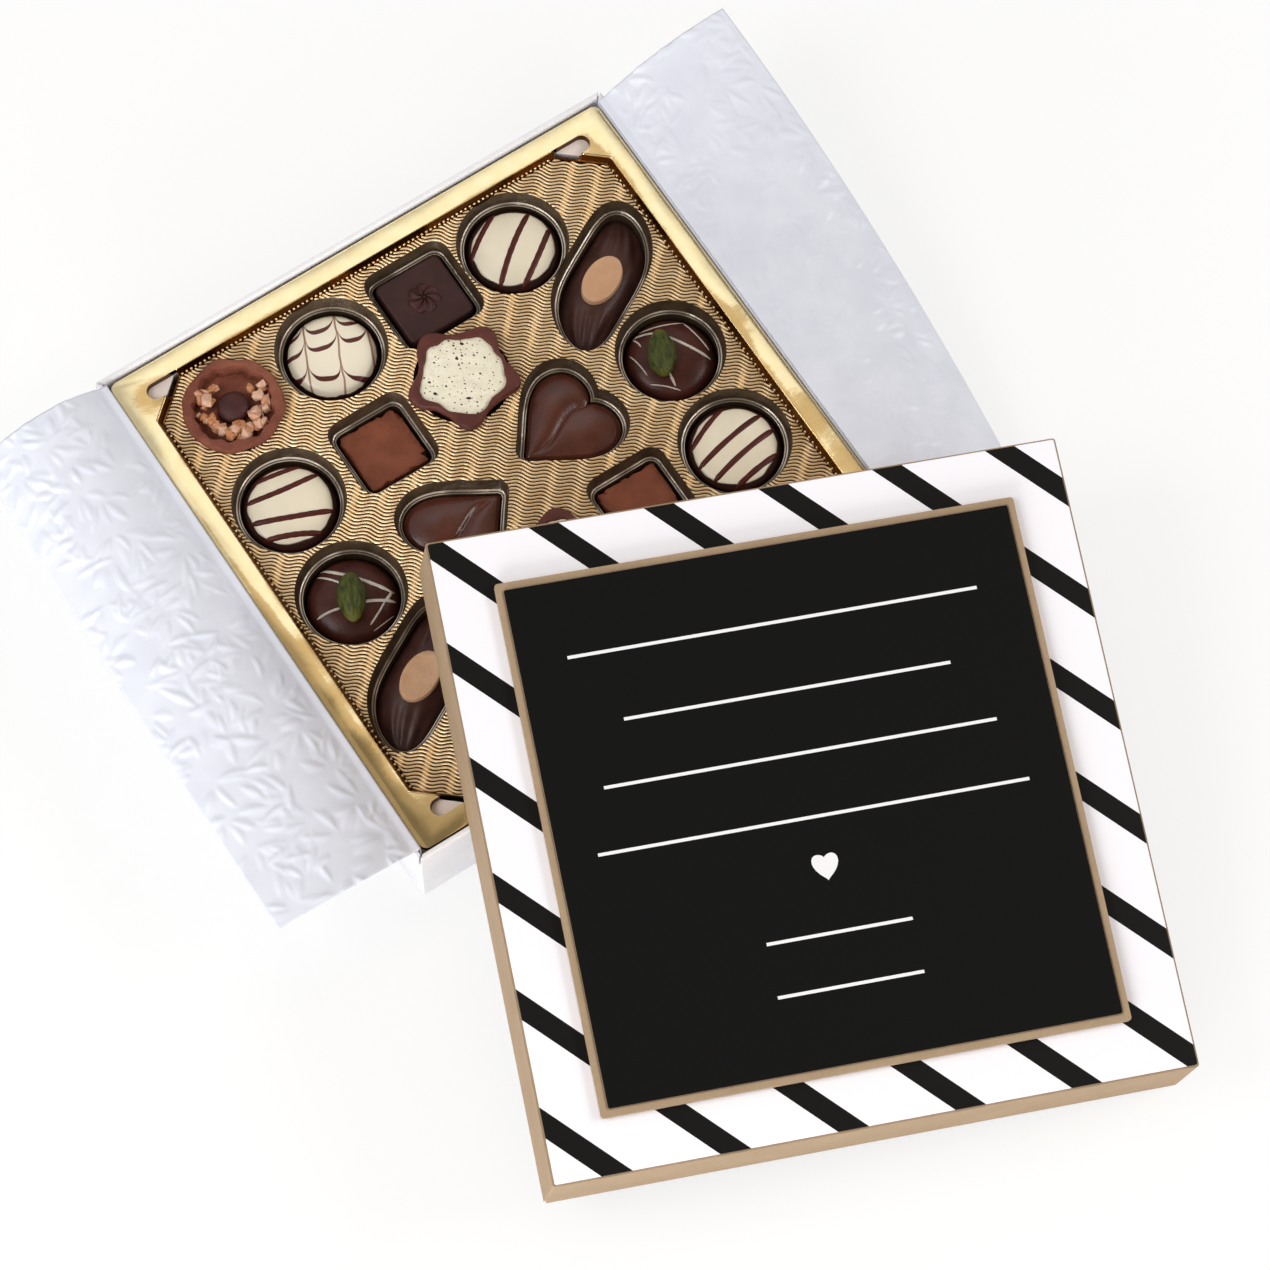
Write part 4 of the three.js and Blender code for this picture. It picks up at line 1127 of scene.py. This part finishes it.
def dark_square_praline(body, number, place, height):
    deep = height - 0.9
    # How far each ring lies within the full side, its corner radius, and its height
    section = (
        (1.6, 1.4, 0), (0.6, 1.6, 0.6), (0, 1.7, 2.2), (0.5, 1.6, deep - 0.75), (0.8, 1.5, deep - 0.28),
        (1.3, 1.3, deep - 0.06), (2.1, 1.0, deep), (13, 1.0, deep))
    block = [
        level(rounded_rect(DARK_SIDE - less, DARK_SIDE - less, corner), z) for less, corner, z in section]
    piece(body, loft(bmesh.new(), block), SATIN_CHOCOLATE, body, place, [body])
    rings = []
    for i in range(ROSETTE_STEPS):
        share = 1 - i / ROSETTE_STEPS
        radius = ROSETTE_R * share
        ring = []
        for x, y in circle(1, 112):
            petal = 0.5 + 0.5 * math.cos(ROSETTE_PETALS * math.atan2(y, x) + 1.15 * radius)
            edge = radius * (1 - 0.12 * (1 - petal) * share)
            lift = 1.5 * math.sqrt(max(1 - (radius / 3.8) ** 2, 0)) * (0.42 + 0.58 * petal ** 0.7)
            ring.append(Vector((x * edge, y * edge, deep - 0.15 + lift * (0.6 + 0.4 * share))))
        rings.append(ring)
    foot = [Vector((p.x, p.y, deep - 0.2)) for p in rings[0]]
    piece(f"{body}_rosette", loft(bmesh.new(), [foot, *rings]), MATT_CHOCOLATE, body, place)


def milk_square_praline(body, number, place, height):
    rng = random.Random(40 + number)
    shift = Vector((rng.uniform(0, 50), rng.uniform(0, 50), 0))

    def ring(side, z, chip):
        points = []
        for x, y in walked(rounded_rect(side, side, 0.9), 0.42):
            bite = max(0.0, noise.noise(Vector((x, y, z * 0.4)) * 0.55 + shift) - 0.05) * chip
            bite += 0.1 * noise.noise(Vector((x, y, z)) * 1.3 + shift)
            if x > side * 0.4:
                bite *= 2.4
            points.append(Vector((
                x - math.copysign(min(abs(x), bite), x),
                y - math.copysign(min(abs(y), bite), y), z)))
        return points
    # How far each ring lies within the full side, its height, and how deep its edge is chipped
    section = (
        (1.0, 0, 0), (0.2, 0.5, 0), (0, 3, 0), (0.3, height - 1.6, 0.3), (0.4, height - 0.7, 0.9),
        (0.6, height - 0.2, 1.1), (1.1, height, 1.1), (2.8, height, 0.4))
    rings = [ring(MILK_SIDE - less, z, chip) for less, z, chip in section]
    count = min(len(points) for points in rings)
    even = []
    for points in rings:
        even.append([points[round(i * len(points) / count) % len(points)] for i in range(count)])
    piece(body, loft(bmesh.new(), even), MILK_CHOCOLATE, body, place, [body])


def crease_depth(x, y, half):
    """How deep the heart's crease is at a place in plan: a curved furrow from the cleft to the tip."""
    share = (0.62 - x / half) / 1.6
    if not 0 < share < 1:
        return 0.0
    bend = 0.09 * half * math.sin(TAU * share)
    aside = y - bend
    fade = min(1.0, share * 8) * min(1.0, (1 - share) * 4)
    soft = 1.25 if aside > 0 else 0.55
    return fade * math.exp(-(abs(aside) / soft) ** 1.4)


def heart_praline(body, number, place, height):
    half = HEART_SHOWN / 2
    outline = heart_outline(HEART_SHOWN)
    levels = [
        level(outline, 0, 0.9), level(outline, 0.6, 0.965), level(outline, 2.0, 0.985),
        level(outline, height - 2.8), level(outline, height - 2.3, 0.995),
        level(outline, height - 1.95, 0.97), level(outline, height - 1.8, 0.95)]
    for i in range(1, TOP_RINGS):
        share = 0.94 * (1 - i / TOP_RINGS)
        ring = []
        for x, y in outline:
            px, py = x * share, y * share
            lobe = math.exp(-((px - 0.28 * half) ** 2 + (abs(py) - 0.5 * half) ** 2) / 26)
            swell = 1.1 * (1 - share ** 3.4) + 0.65 * lobe * (1 - share ** 3)
            z = height - 1.75 + swell - 0.85 * crease_depth(px, py, half)
            ring.append(Vector((px, py, z)))
        levels.append(ring)
    piece(body, loft(bmesh.new(), levels), BROWN_CHOCOLATE, body, place, [body], 60)


def boat_praline(body, number, place, height):
    outline = boat_outline(BOAT_L, BOAT_W, 160)
    levels = [
        level(outline, 0, 0.88), level(outline, 0.8, 0.955), level(outline, 2, 0.975),
        level(outline, height - 4.6), level(outline, height - 4.0, 0.995)]
    for i in range(1, TOP_RINGS):
        share = 0.985 * (1 - i / TOP_RINGS)
        ring = []
        for x, y in outline:
            px, py = x * share, y * share
            along = abs(px) / (BOAT_L / 2)
            half = max(BOAT_W / 2 * math.sqrt(max(1 - along ** 2, 0.02)), 1.0)
            bend = BOAT_BEND * math.sin(math.pi * px / (BOAT_L / 2))
            aside = (py + bend) / half
            flute = math.cos(TAU * 2.3 * aside) * 0.18
            reach = max(0.0, min(1.0, (along - 0.3) / 0.2)) * max(0.0, min(1.0, (0.97 - along) / 0.2))
            inner = min(1.0, 3.2 * (1 - share) + 0.25)
            z = height - 3.8 * share ** 2.8 + flute * reach * inner - 0.3 * reach
            ring.append(Vector((px, py, z)))
        levels.append(ring)
    piece(body, loft(bmesh.new(), levels), FLUTED_CHOCOLATE, body, place, [body], 60)
    medallion = f"boat_medallion_{number}"
    low, high = corners(medallion)
    middle = (low + high) / 2
    oval = [(x * MEDALLION_HALF[0], y * MEDALLION_HALF[1]) for x, y in circle(1, 72)]
    disc = loft(bmesh.new(), [
        level(oval, -0.5, 1.02), level(oval, 0.5), level(oval, 0.78, 0.97), level(oval, 0.85, 0.9),
        level(oval, 0.7, 0.8), level(oval, 0.62, 0.4)])
    lie = Matrix.Translation((middle.x, middle.y, low.z)) @ Matrix.Rotation(
        place.to_euler().z + MEDALLION_TURN, 4, "Z")
    piece(medallion, disc, TAN_CHOCOLATE, body, lie, [medallion])


# Fine pale lines over each dome, in its plan turned to the picture: start, end, width
DOME_LINES = {
    1: (((-8.1, 5.2), (-2.9, 5.6), 0.55), ((-3.0, 5.6), (8.8, -0.5), 0.7), ((-6.7, 6.4), (2.8, 8.5), 0.35),
        ((2.9, 8.6), (8.6, 1.7), 0.4), ((-9.0, 0.7), (-5.2, -4.6), 0.35), ((-2.6, -0.5), (0.9, -7.2), 0.6),
        ((-4.6, -6.6), (2.0, -8.1), 0.3), ((-8.2, 4.8), (-6.4, 2.4), 0.4)),
    2: (((-6.9, 7.0), (9.0, 1.3), 0.8), ((-7.6, 5.4), (-2.0, 3.0), 0.5), ((8.6, 1.6), (6.9, -1.2), 0.7),
        ((7.1, -1.0), (3.9, -6.4), 0.45), ((2.4, -1.3), (9.4, -0.7), 0.7),
        ((-7.6, -4.5), (-2.4, -2.6), 0.6), ((9.0, -3.6), (4.6, -7.5), 0.25)),
}
def pistachio_praline(body, number, place, height):
    profile = dome_profile(DOME_R, height)
    dome = f"pistachio_dome_{number}"
    piece(dome, spun(bmesh.new(), profile), DARK_CHOCOLATE, body, place, [dome])
    crown = crown_of(profile)
    lines = bmesh.new()
    for start, end, width in DOME_LINES[number]:
        drizzled(lines, crown, start, end, 0.15, width, 0.3 * width, 20)
    piece(f"{body}_lines", lines, PALE_DRIZZLE, body, upright(place))
    kernel = f"pistachio_kernel_{number}"
    length, width, depth = KERNEL_HALF
    nut = bmesh.new()
    bmesh.ops.create_icosphere(nut, subdivisions=5, radius=1)
    for vert in nut.verts:
        x, y, z = vert.co
        wrinkle = noise.noise(Vector((x * 2.6, y * 3.4, z * 3.4 + number))) * 0.12
        furrow = 0.1 * math.exp(-((y - 0.15) / 0.14) ** 2) * (z > 0)
        point = 1 + wrinkle - furrow
        taper = 1 - 0.22 * x * x
        vert.co = (x * length * (1 + 0.05 * x), y * width * taper * point, z * depth * point)
    spot = place.translation.xy + Matrix.Rotation(PICTURE_RIGHT, 2) @ Vector(KERNEL_SHIFT[number])
    top = corners(kernel)[1].z
    turn = Matrix.Rotation(KERNEL_TURN + place.to_euler().z, 4, "Z")
    lie = Matrix.Translation((spot.x, spot.y, top - 2.6)) @ turn
    piece(kernel, nut, KERNEL, body, lie, [kernel], 80)


def wavy(radius, wander, seed, count=144, ripples=0, depth=0.0):
    """A round edge that wanders, with ripples all round it."""
    points = []
    for x, y in circle(1, count):
        drift = wander * noise.noise(Vector((x * 2.6, y * 2.6, seed * 5.1)))
        ripple = depth * math.cos(ripples * math.atan2(y, x) + 1.4 * drift)
        points.append((x * (radius + drift + ripple), y * (radius + drift + ripple)))
    return points


def cup(bm, brim, brim_foot, hollow, height, count):
    """Chocolate cup: a round body that flares to its brim, and the hollow inside it."""
    foot = circle(CUP_FOOT_D / 2, count)
    return loft(bm, [
        level(foot, 0, 0.93), level(foot, 0.5, 0.985), level(foot, 2.0), level(foot, height - 5.2, 1.04),
        level(foot, height - 3.2, 1.06),
        level(brim_foot, height - CUP_BRIM_H - 0.1),
        level(brim, height - CUP_BRIM_H + 0.5, 0.99),
        level(brim, height - 0.9),
        level(brim, height - 0.35, 0.985),
        level(brim, height - 0.05, 0.955),
        level(hollow, height, 1.07),
        level(hollow, height - 0.15, 1.02),
        level(hollow, height - 0.7),
        level(hollow, height - 3.2, 0.93)])


def nut_bits(number, own, top):
    """Chopped nuts: chipped lumps, each in its own tone, heaped to the left and front of the picture."""
    rng = random.Random(7 + number)
    bits = bmesh.new()
    tone = bits.verts.layers.float.new("tone")
    for _ in range(NUT_BITS):
        angle = PICTURE_RIGHT - own + math.radians(rng.uniform(130, 420))
        ring = rng.uniform(4.9, 8.0)
        size = rng.choice((0.9, 1.15, 1.4, 1.6, 1.85))
        hue = rng.random()
        stretch = Vector((rng.uniform(0.9, 1.3), rng.uniform(0.7, 1.0), rng.uniform(0.6, 0.85))) * size
        spin = Matrix.Rotation(rng.uniform(0, TAU), 3, "Z")
        spin = spin @ Matrix.Rotation(rng.uniform(-0.6, 0.6), 3, "X")
        spot = Vector((ring * math.cos(angle), ring * math.sin(angle), top - 1.4 + rng.uniform(-0.3, 0.6)))
        lump = []
        for _ in range(11):
            way = Vector((rng.gauss(0, 1), rng.gauss(0, 1), rng.gauss(0, 1))).normalized()
            vert = bits.verts.new(spot + spin @ (way * stretch))
            vert[tone] = hue
            lump.append(vert)
        bmesh.ops.convex_hull(bits, input=lump)
    bmesh.ops.bevel(
        bits, geom=bits.edges[:], offset=0.12, segments=2, affect="EDGES", profile=0.5, material=-1)
    return bits


def nut_praline(body, number, place, height):
    brim = wavy(11.15, 0.7, number, 144, 9, 0.16)
    hollow = wavy(8.9, 0.9, number + 4, 144, 17, 0.2)
    bm = cup(bmesh.new(), brim, wavy(10.4, 0.4, number, 144), hollow, height, 144)
    piece(f"nut_cup_{number}", bm, CUP_CHOCOLATE, body, place, [f"nut_cup_{number}"])
    bits = nut_bits(number, place.to_euler().z, height)
    piece(f"nut_crumbs_{number}", bits, NUTS, body, place, [f"nut_crumbs_{number}"], 28)
    drop_low, drop_high = corners(f"nut_drop_{number}")
    rise = drop_high.z - drop_low.z
    drop = spun(bmesh.new(), curve([
        (0, -0.6), (3.3, -0.6), (3.65, 0.4), (3.5, rise * 0.5), (2.6, rise * 0.84), (1.2, rise * 0.98),
        (0, rise)]), 48)
    for vert in drop.verts:
        vert.co *= 1 + 0.03 * noise.noise(vert.co * 0.5)
    lie = Matrix.Translation((place.translation.x, place.translation.y, drop_low.z))
    piece(f"nut_drop_{number}", drop, MATT_CHOCOLATE, body, lie, [f"nut_drop_{number}"], 60)


def star_praline(body, number, place, height):
    brim = star_outline(STAR_SPAN + 0.5, 0.5, number, dip=3.0)
    hollow = star_outline(STAR_SPAN - 5.9, 0.8, number + 3, dip=0.9)
    foot = star_outline(STAR_SPAN - 1.6, 0.4, number, dip=3.0)
    bm = cup(bmesh.new(), brim, foot, hollow, height, 160)
    piece(f"star_cup_{number}", bm, STAR_CHOCOLATE, body, place, [f"star_cup_{number}"])
    rings = [level(hollow, height - 2.6, 0.99), level(hollow, height - 0.85)]
    for i in range(1, 14):
        share = 1 - i / 14
        crown = height - 0.75 + 0.35 * (1 - share ** 6)
        ring = []
        for x, y in hollow:
            spot = Vector((x * share, y * share, number))
            ring.append(Vector((spot.x, spot.y, crown + 0.18 * noise.noise(spot * 0.45))))
        rings.append(ring)
    filling = f"star_filling_{number}"
    piece(filling, loft(bmesh.new(), rings), FILLING, body, place, [filling], 60)


BUILDERS = {
    "nut": nut_praline, "feathered": feathered_praline, "dark_square": dark_square_praline,
    "striped": striped_praline, "boat": boat_praline, "pistachio": pistachio_praline,
    "milk_square": milk_square_praline, "star": star_praline, "heart": heart_praline,
}


def sprays(across, along, seed):
    """Raised height of the paper at points of the flat sheet: loose sprays of bent leaves, all over it."""
    rng = random.Random(seed)
    height = np.zeros_like(across)
    for cx in np.arange(across.min() - 6, across.max() + 6, SPRAY_STEP):
        for cy in np.arange(along.min() - 6, along.max() + 6, SPRAY_STEP):
            turn = rng.uniform(0, TAU)
            x = across - cx - rng.uniform(-3.5, 3.5)
            y = along - cy - rng.uniform(-3.5, 3.5)
            for leaf in range(SPRAY_LEAVES):
                heading = turn + (leaf - (SPRAY_LEAVES - 1) / 2) * 0.62 + rng.uniform(-0.3, 0.3)
                stalk = rng.uniform(0.8, 2.6)
                length = rng.uniform(4.5, 8.0)
                bend = rng.uniform(-0.06, 0.06)
                widest = rng.uniform(1.0, 1.9)
                lift = rng.uniform(0.4, 1.0)
                ahead = x * math.cos(heading) + y * math.sin(heading) - stalk
                share = np.clip(ahead / length, 0, 1)
                aside = y * math.cos(heading) - x * math.sin(heading) - bend * ahead * (length - ahead)
                swell = np.sin(np.pi * share) ** 0.75
                width = 0.12 + widest * swell
                side = np.where(aside > 0, aside, aside * 1.5) / width
                raised = np.clip(1 - side ** 2, 0, 1) ** 2 * swell * lift
                height = np.maximum(height, raised)
    return height * EMBOSS_H


def flap_points(side, slopes, rows, steps):
    """Points of a laid-open flap: flat over the wall, then out with a slope that changes both ways."""
    crease = LINER_HIGH.x - PAPER
    over = BASE_HIGH.x - crease
    length = LINER_HIGH.y - LINER_LOW.y
    run = np.linspace(0, FLAP_W, steps + 1)
    grid = []
    for row in range(rows + 1):
        share = row / rows
        turn_in = math.radians(slopes[0][0] + (slopes[1][0] - slopes[0][0]) * share)
        turn_out = math.radians(slopes[0][1] + (slopes[1][1] - slopes[0][1]) * share)
        middle = (run[1:] + run[:-1]) / 2
        out = np.clip((middle - over) / (FLAP_W - over), 0, 1)
        slope = np.where(middle < over, 0.0, turn_in + (turn_out - turn_in) * out)
        step = np.diff(run)
        x = crease + np.concatenate([[0], np.cumsum(step * np.cos(slope))])
        z = BASE_HIGH.z + FLAP_LIFT + PAPER + np.concatenate([[0], np.cumsum(step * np.sin(slope))])
        y = np.full_like(x, LINER_HIGH.y - share * length)
        grid.append(np.stack([side * x, y, z], 1))
    return np.array(grid), run, np.linspace(0, length, rows + 1)


def paper_flap(side, slopes, seed):
    """Embossed flap of the padding paper as a thin sheet."""
    grid, run, length = flap_points(side, slopes, FLAP_ROWS, FLAP_STEPS)
    across, along = np.meshgrid(run, length)
    height = sprays(across, along, seed) * np.clip((across - 2.0) / 2.0, 0, 1)
    height *= np.clip((FLAP_W - across) / 1.5, 0, 1)
    out = np.gradient(grid, axis=1)
    down = np.gradient(grid, axis=0)
    normal = np.cross(out, down) * -side
    normal /= np.linalg.norm(normal, axis=2, keepdims=True)
    normal *= np.sign(normal[:, :, 2:].mean())
    spots = (grid + normal * height[:, :, None]).reshape(-1, 3)
    bm = bmesh.new()
    bmesh.ops.create_grid(bm, x_segments=FLAP_STEPS, y_segments=FLAP_ROWS, size=0.5)
    for vert in bm.verts:
        column = round((vert.co.x + 0.5) * FLAP_STEPS)
        row = round((vert.co.y + 0.5) * FLAP_ROWS)
        vert.co = spots[row * (FLAP_STEPS + 1) + column]
    bmesh.ops.recalc_face_normals(bm, faces=bm.faces)
    if sum(face.normal.z for face in bm.faces) < 0:
        bmesh.ops.reverse_faces(bm, faces=bm.faces)
    return bm


def thicken(obj, thickness):
    """Gives a sheet its thickness below its shown side."""
    solid = obj.modifiers.new("sheet", "SOLIDIFY")
    solid.thickness = thickness * MM
    solid.offset = -1


def liner():
    """Part of the padding paper that lies under the insert and stands up at both sides."""
    top, floor, half = LINER_HIGH.z, LINER_LOW.z, LINER_HIGH.x - PAPER
    section = [(-half, top), (-half, floor + PAPER), (half, floor + PAPER), (half, top)]
    bm = bmesh.new()
    verts = [bm.verts.new((x, LINER_LOW.y, z)) for x, z in section]
    edges = [bm.edges.new(pair) for pair in zip(verts, verts[1:])]
    made = bmesh.ops.extrude_edge_only(bm, edges=edges)["geom"]
    for item in made:
        if isinstance(item, bmesh.types.BMVert):
            item.co.y = LINER_HIGH.y
    bmesh.ops.recalc_face_normals(bm, faces=bm.faces)
    if max(bm.faces, key=lambda face: face.calc_area()).normal.z < 0:
        bmesh.ops.reverse_faces(bm, faces=bm.faces)
    return bm


def lid_frame():
    """Axes of the leaning lid, read from the flat faces of its CAD solid, about the middle of its top."""
    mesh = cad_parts["lid_carton"].data
    area = {}
    for face in mesh.polygons:
        key = tuple(round(part, 3) for part in face.normal)
        area[key] = area.get(key, 0) + face.area
    up = Vector(max((key for key in area if key[2] > 0.5), key=area.get)).normalized()
    ahead = Vector((math.cos(LID_YAW), math.sin(LID_YAW), 0))
    sides = [key for key in area if Vector(key).dot(ahead) > 0.9]
    right = Vector(max(sides, key=area.get))
    right = (right - up * right.dot(up)).normalized()
    axes = Matrix((right, up.cross(right), up))
    spots = np.array([axes @ vert.co for vert in mesh.vertices]) / MM
    low, high = spots.min(axis=0), spots.max(axis=0)
    middle = axes.transposed() @ Vector(((low[0] + high[0]) / 2, (low[1] + high[1]) / 2, high[2]))
    return Matrix.Translation(middle) @ axes.transposed().to_4x4(), high[0] - low[0], high[1] - low[1]


def card_of(node, lid, wider=0.0):
    """Flat card in the lid's frame with the size and place of a CAD node, its top edges eased."""
    spots = np.array([lid.inverted() @ (vert.co / MM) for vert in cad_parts[node].data.vertices])
    low, high = spots.min(axis=0), spots.max(axis=0)
    width, length = high[0] - low[0] + wider, high[1] - low[1] + wider
    return loft(bmesh.new(), [
        level(rounded_rect(width, length, 0.4, 3), low[2]),
        level(rounded_rect(width, length, 0.4, 3), high[2] - 0.05),
        level(rounded_rect(width - 0.1, length - 0.1, 0.35, 3), high[2])])


def soften(node, width, material):
    """Shows a CAD node in a material, with its folded edges rounded."""
    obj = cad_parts[node]
    obj.data.materials.clear()
    obj.data.materials.append(material)
    edges = obj.modifiers.new("edges", "BEVEL")
    edges.width = width * MM
    edges.segments = 3
    edges.limit_method = "ANGLE"
    edges.angle_limit = math.radians(40)
    return obj


# Cartons
soften("base_carton", 0.25, WHITE_BOARD)
soften("lid_carton", 0.4, KRAFT_BOARD)
soften("plaque_card", 0.15, KRAFT_BOARD)
LID, LID_W, LID_L = lid_frame()
STRIPED_PRINT = finish(
    "striped_print", "striped_print", striped(WHITE, BLACK, (LID_W - LID_L) / 2), Specular_IOR_Level=0.15)
STRIPES = card_of("lid_stripe_sheet", LID, PRINT_OVER)
piece("lid_stripe_sheet", STRIPES, STRIPED_PRINT, "lid", LID, ["lid_stripe_sheet"])
piece("plaque_face", card_of("plaque_face", LID), BLACK_PRINT, "lid", LID, ["plaque_face"])

# Pralines and the insert formed to them
POCKETS = []
for body_name, kind, number, place, height in places():
    BUILDERS[kind](body_name, number, place, height)
    POCKETS.append((KINDS[kind][2], place))
piece("insert_rim", insert_rim(), RIM_GOLD, "box", None, ["gold_insert"], 30)
piece("insert_panel", wave_panel(POCKETS), PANEL_GOLD, "box", None, (), 75)
STEP_PIECE = piece("insert_step", step_wall(), STEP_GOLD, "box", None, (), 30)
thicken(STEP_PIECE, STEP_SHEET)
piece("insert_studs", step_studs(), STUD_GOLD, "box", None, (), 80)
POCKET_PIECE = piece("insert_pockets", pocket_shells(POCKETS), POCKET_GOLD, "box", None, (), 30)
thicken(POCKET_PIECE, POCKET_SHEET)

# Padding paper
LINER = piece("liner_sheet", liner(), PEARL_PAPER, "box", None, ["liner_sheet"])
thicken(LINER, PAPER)
LEFT_FLAP = piece(
    "liner_flap_left", paper_flap(-1, LEFT_SLOPES, 3), PEARL_PAPER, "left_flap", None,
    ["liner_flap_left"], 80)
thicken(LEFT_FLAP, PAPER)
RIGHT_FLAP = piece(
    "liner_flap_right", paper_flap(1, RIGHT_SLOPES, 5), PEARL_PAPER, None, None,
    ["liner_flap_right", "liner_flap_right_end"], 80)
thicken(RIGHT_FLAP, PAPER)
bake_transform(RIGHT_FLAP)


def backdrop():
    """White table that keeps the object's soft shadow, brightened for the camera."""
    bm = bmesh.new()
    bmesh.ops.create_grid(bm, x_segments=1, y_segments=1, size=TABLE_HALF)
    for vert in bm.verts:
        vert.co.z = -TABLE_DROP
    mesh = bpy.data.meshes.new("table")
    bm.to_mesh(mesh)
    bm.free()
    material = bpy.data.materials.new("table")
    material.use_nodes = True
    tree = material.node_tree
    s = Shade(tree)
    seen = s.node("LightPath", output="Is Camera Ray")
    plain = s.node("BsdfDiffuse", None, {"Color": (0.9, 0.9, 0.9, 1)})
    glow = s.node("Emission", None, {"Color": (1, 1, 1, 1), "Strength": 1.05})
    both = s.node("MixShader", None, {0: seen * 0.7, 1: plain, 2: glow})
    tree.links.new(both.socket, tree.nodes["Material Output"].inputs["Surface"])
    mesh.materials.append(material)
    table = bpy.data.objects.new("table", mesh)
    bpy.context.collection.objects.link(table)


def sky():
    """Surroundings: white to the camera, else bright behind the box, with a warm and a dim patch above."""
    world = bpy.data.worlds.new("surroundings")
    world.use_nodes = True
    bpy.context.scene.world = world
    tree = world.node_tree
    s = Shade(tree)
    seen = s.node("LightPath", output="Is Camera Ray")
    ahead = s.node("TexCoord", output="Generated")

    def near(direction):
        return s.node("VectorMath", {"operation": "DOT_PRODUCT"}, {0: ahead, 1: direction}, "Value")
    bright = near(BRIGHT_WAY).eased(0.88, 0.985)
    warm = near(WARM_WAY).eased(0.853, 0.868)
    dim = near(DIM_WAY).eased(0.878, 0.894)
    soft = (bright * 0.58 + 0.53) * (1 - warm * 0.42) * (1 - dim * 0.35)
    tint = warm.either(dim).mixed((1, 1, 1, 1), WARM_TINT)
    light = tree.nodes["Background"]
    tree.links.new(tint.socket, light.inputs["Color"])
    tree.links.new((seen + (1 - seen) * soft).socket, light.inputs["Strength"])


def lamp(name, spot, size, power):
    """Soft square light that faces the box."""
    light = bpy.data.lights.new(name, "AREA")
    light.shape = "RECTANGLE"
    light.size, light.size_y = size
    light.energy = power
    obj = bpy.data.objects.new(name, light)
    bpy.context.collection.objects.link(obj)
    obj.location = spot
    aim = LAMP_AIM - Vector(spot)
    obj.rotation_euler = aim.to_track_quat("-Z", "Y").to_euler()


def camera():
    """The photograph's point of view."""
    view = bpy.data.cameras.new("camera")
    view.lens = CAMERA_LENS
    view.sensor_width = 36
    view.clip_start = 0.01
    obj = bpy.data.objects.new("camera", view)
    bpy.context.collection.objects.link(obj)
    flat = math.cos(CAMERA_ELEVATION)
    back = Vector((
        math.sin(CAMERA_AZIMUTH) * flat, -math.cos(CAMERA_AZIMUTH) * flat, math.sin(CAMERA_ELEVATION)))
    obj.location = (CAMERA_TARGET + back * CAMERA_DISTANCE) * MM
    obj.rotation_euler = (-back).to_track_quat("-Z", "Y").to_euler()
    bpy.context.scene.camera = obj


backdrop()
sky()
for lamp_name, (spot, size, power) in LAMPS.items():
    lamp(lamp_name, spot, size, power)
camera()
bpy.context.scene.view_settings.view_transform = "Standard"
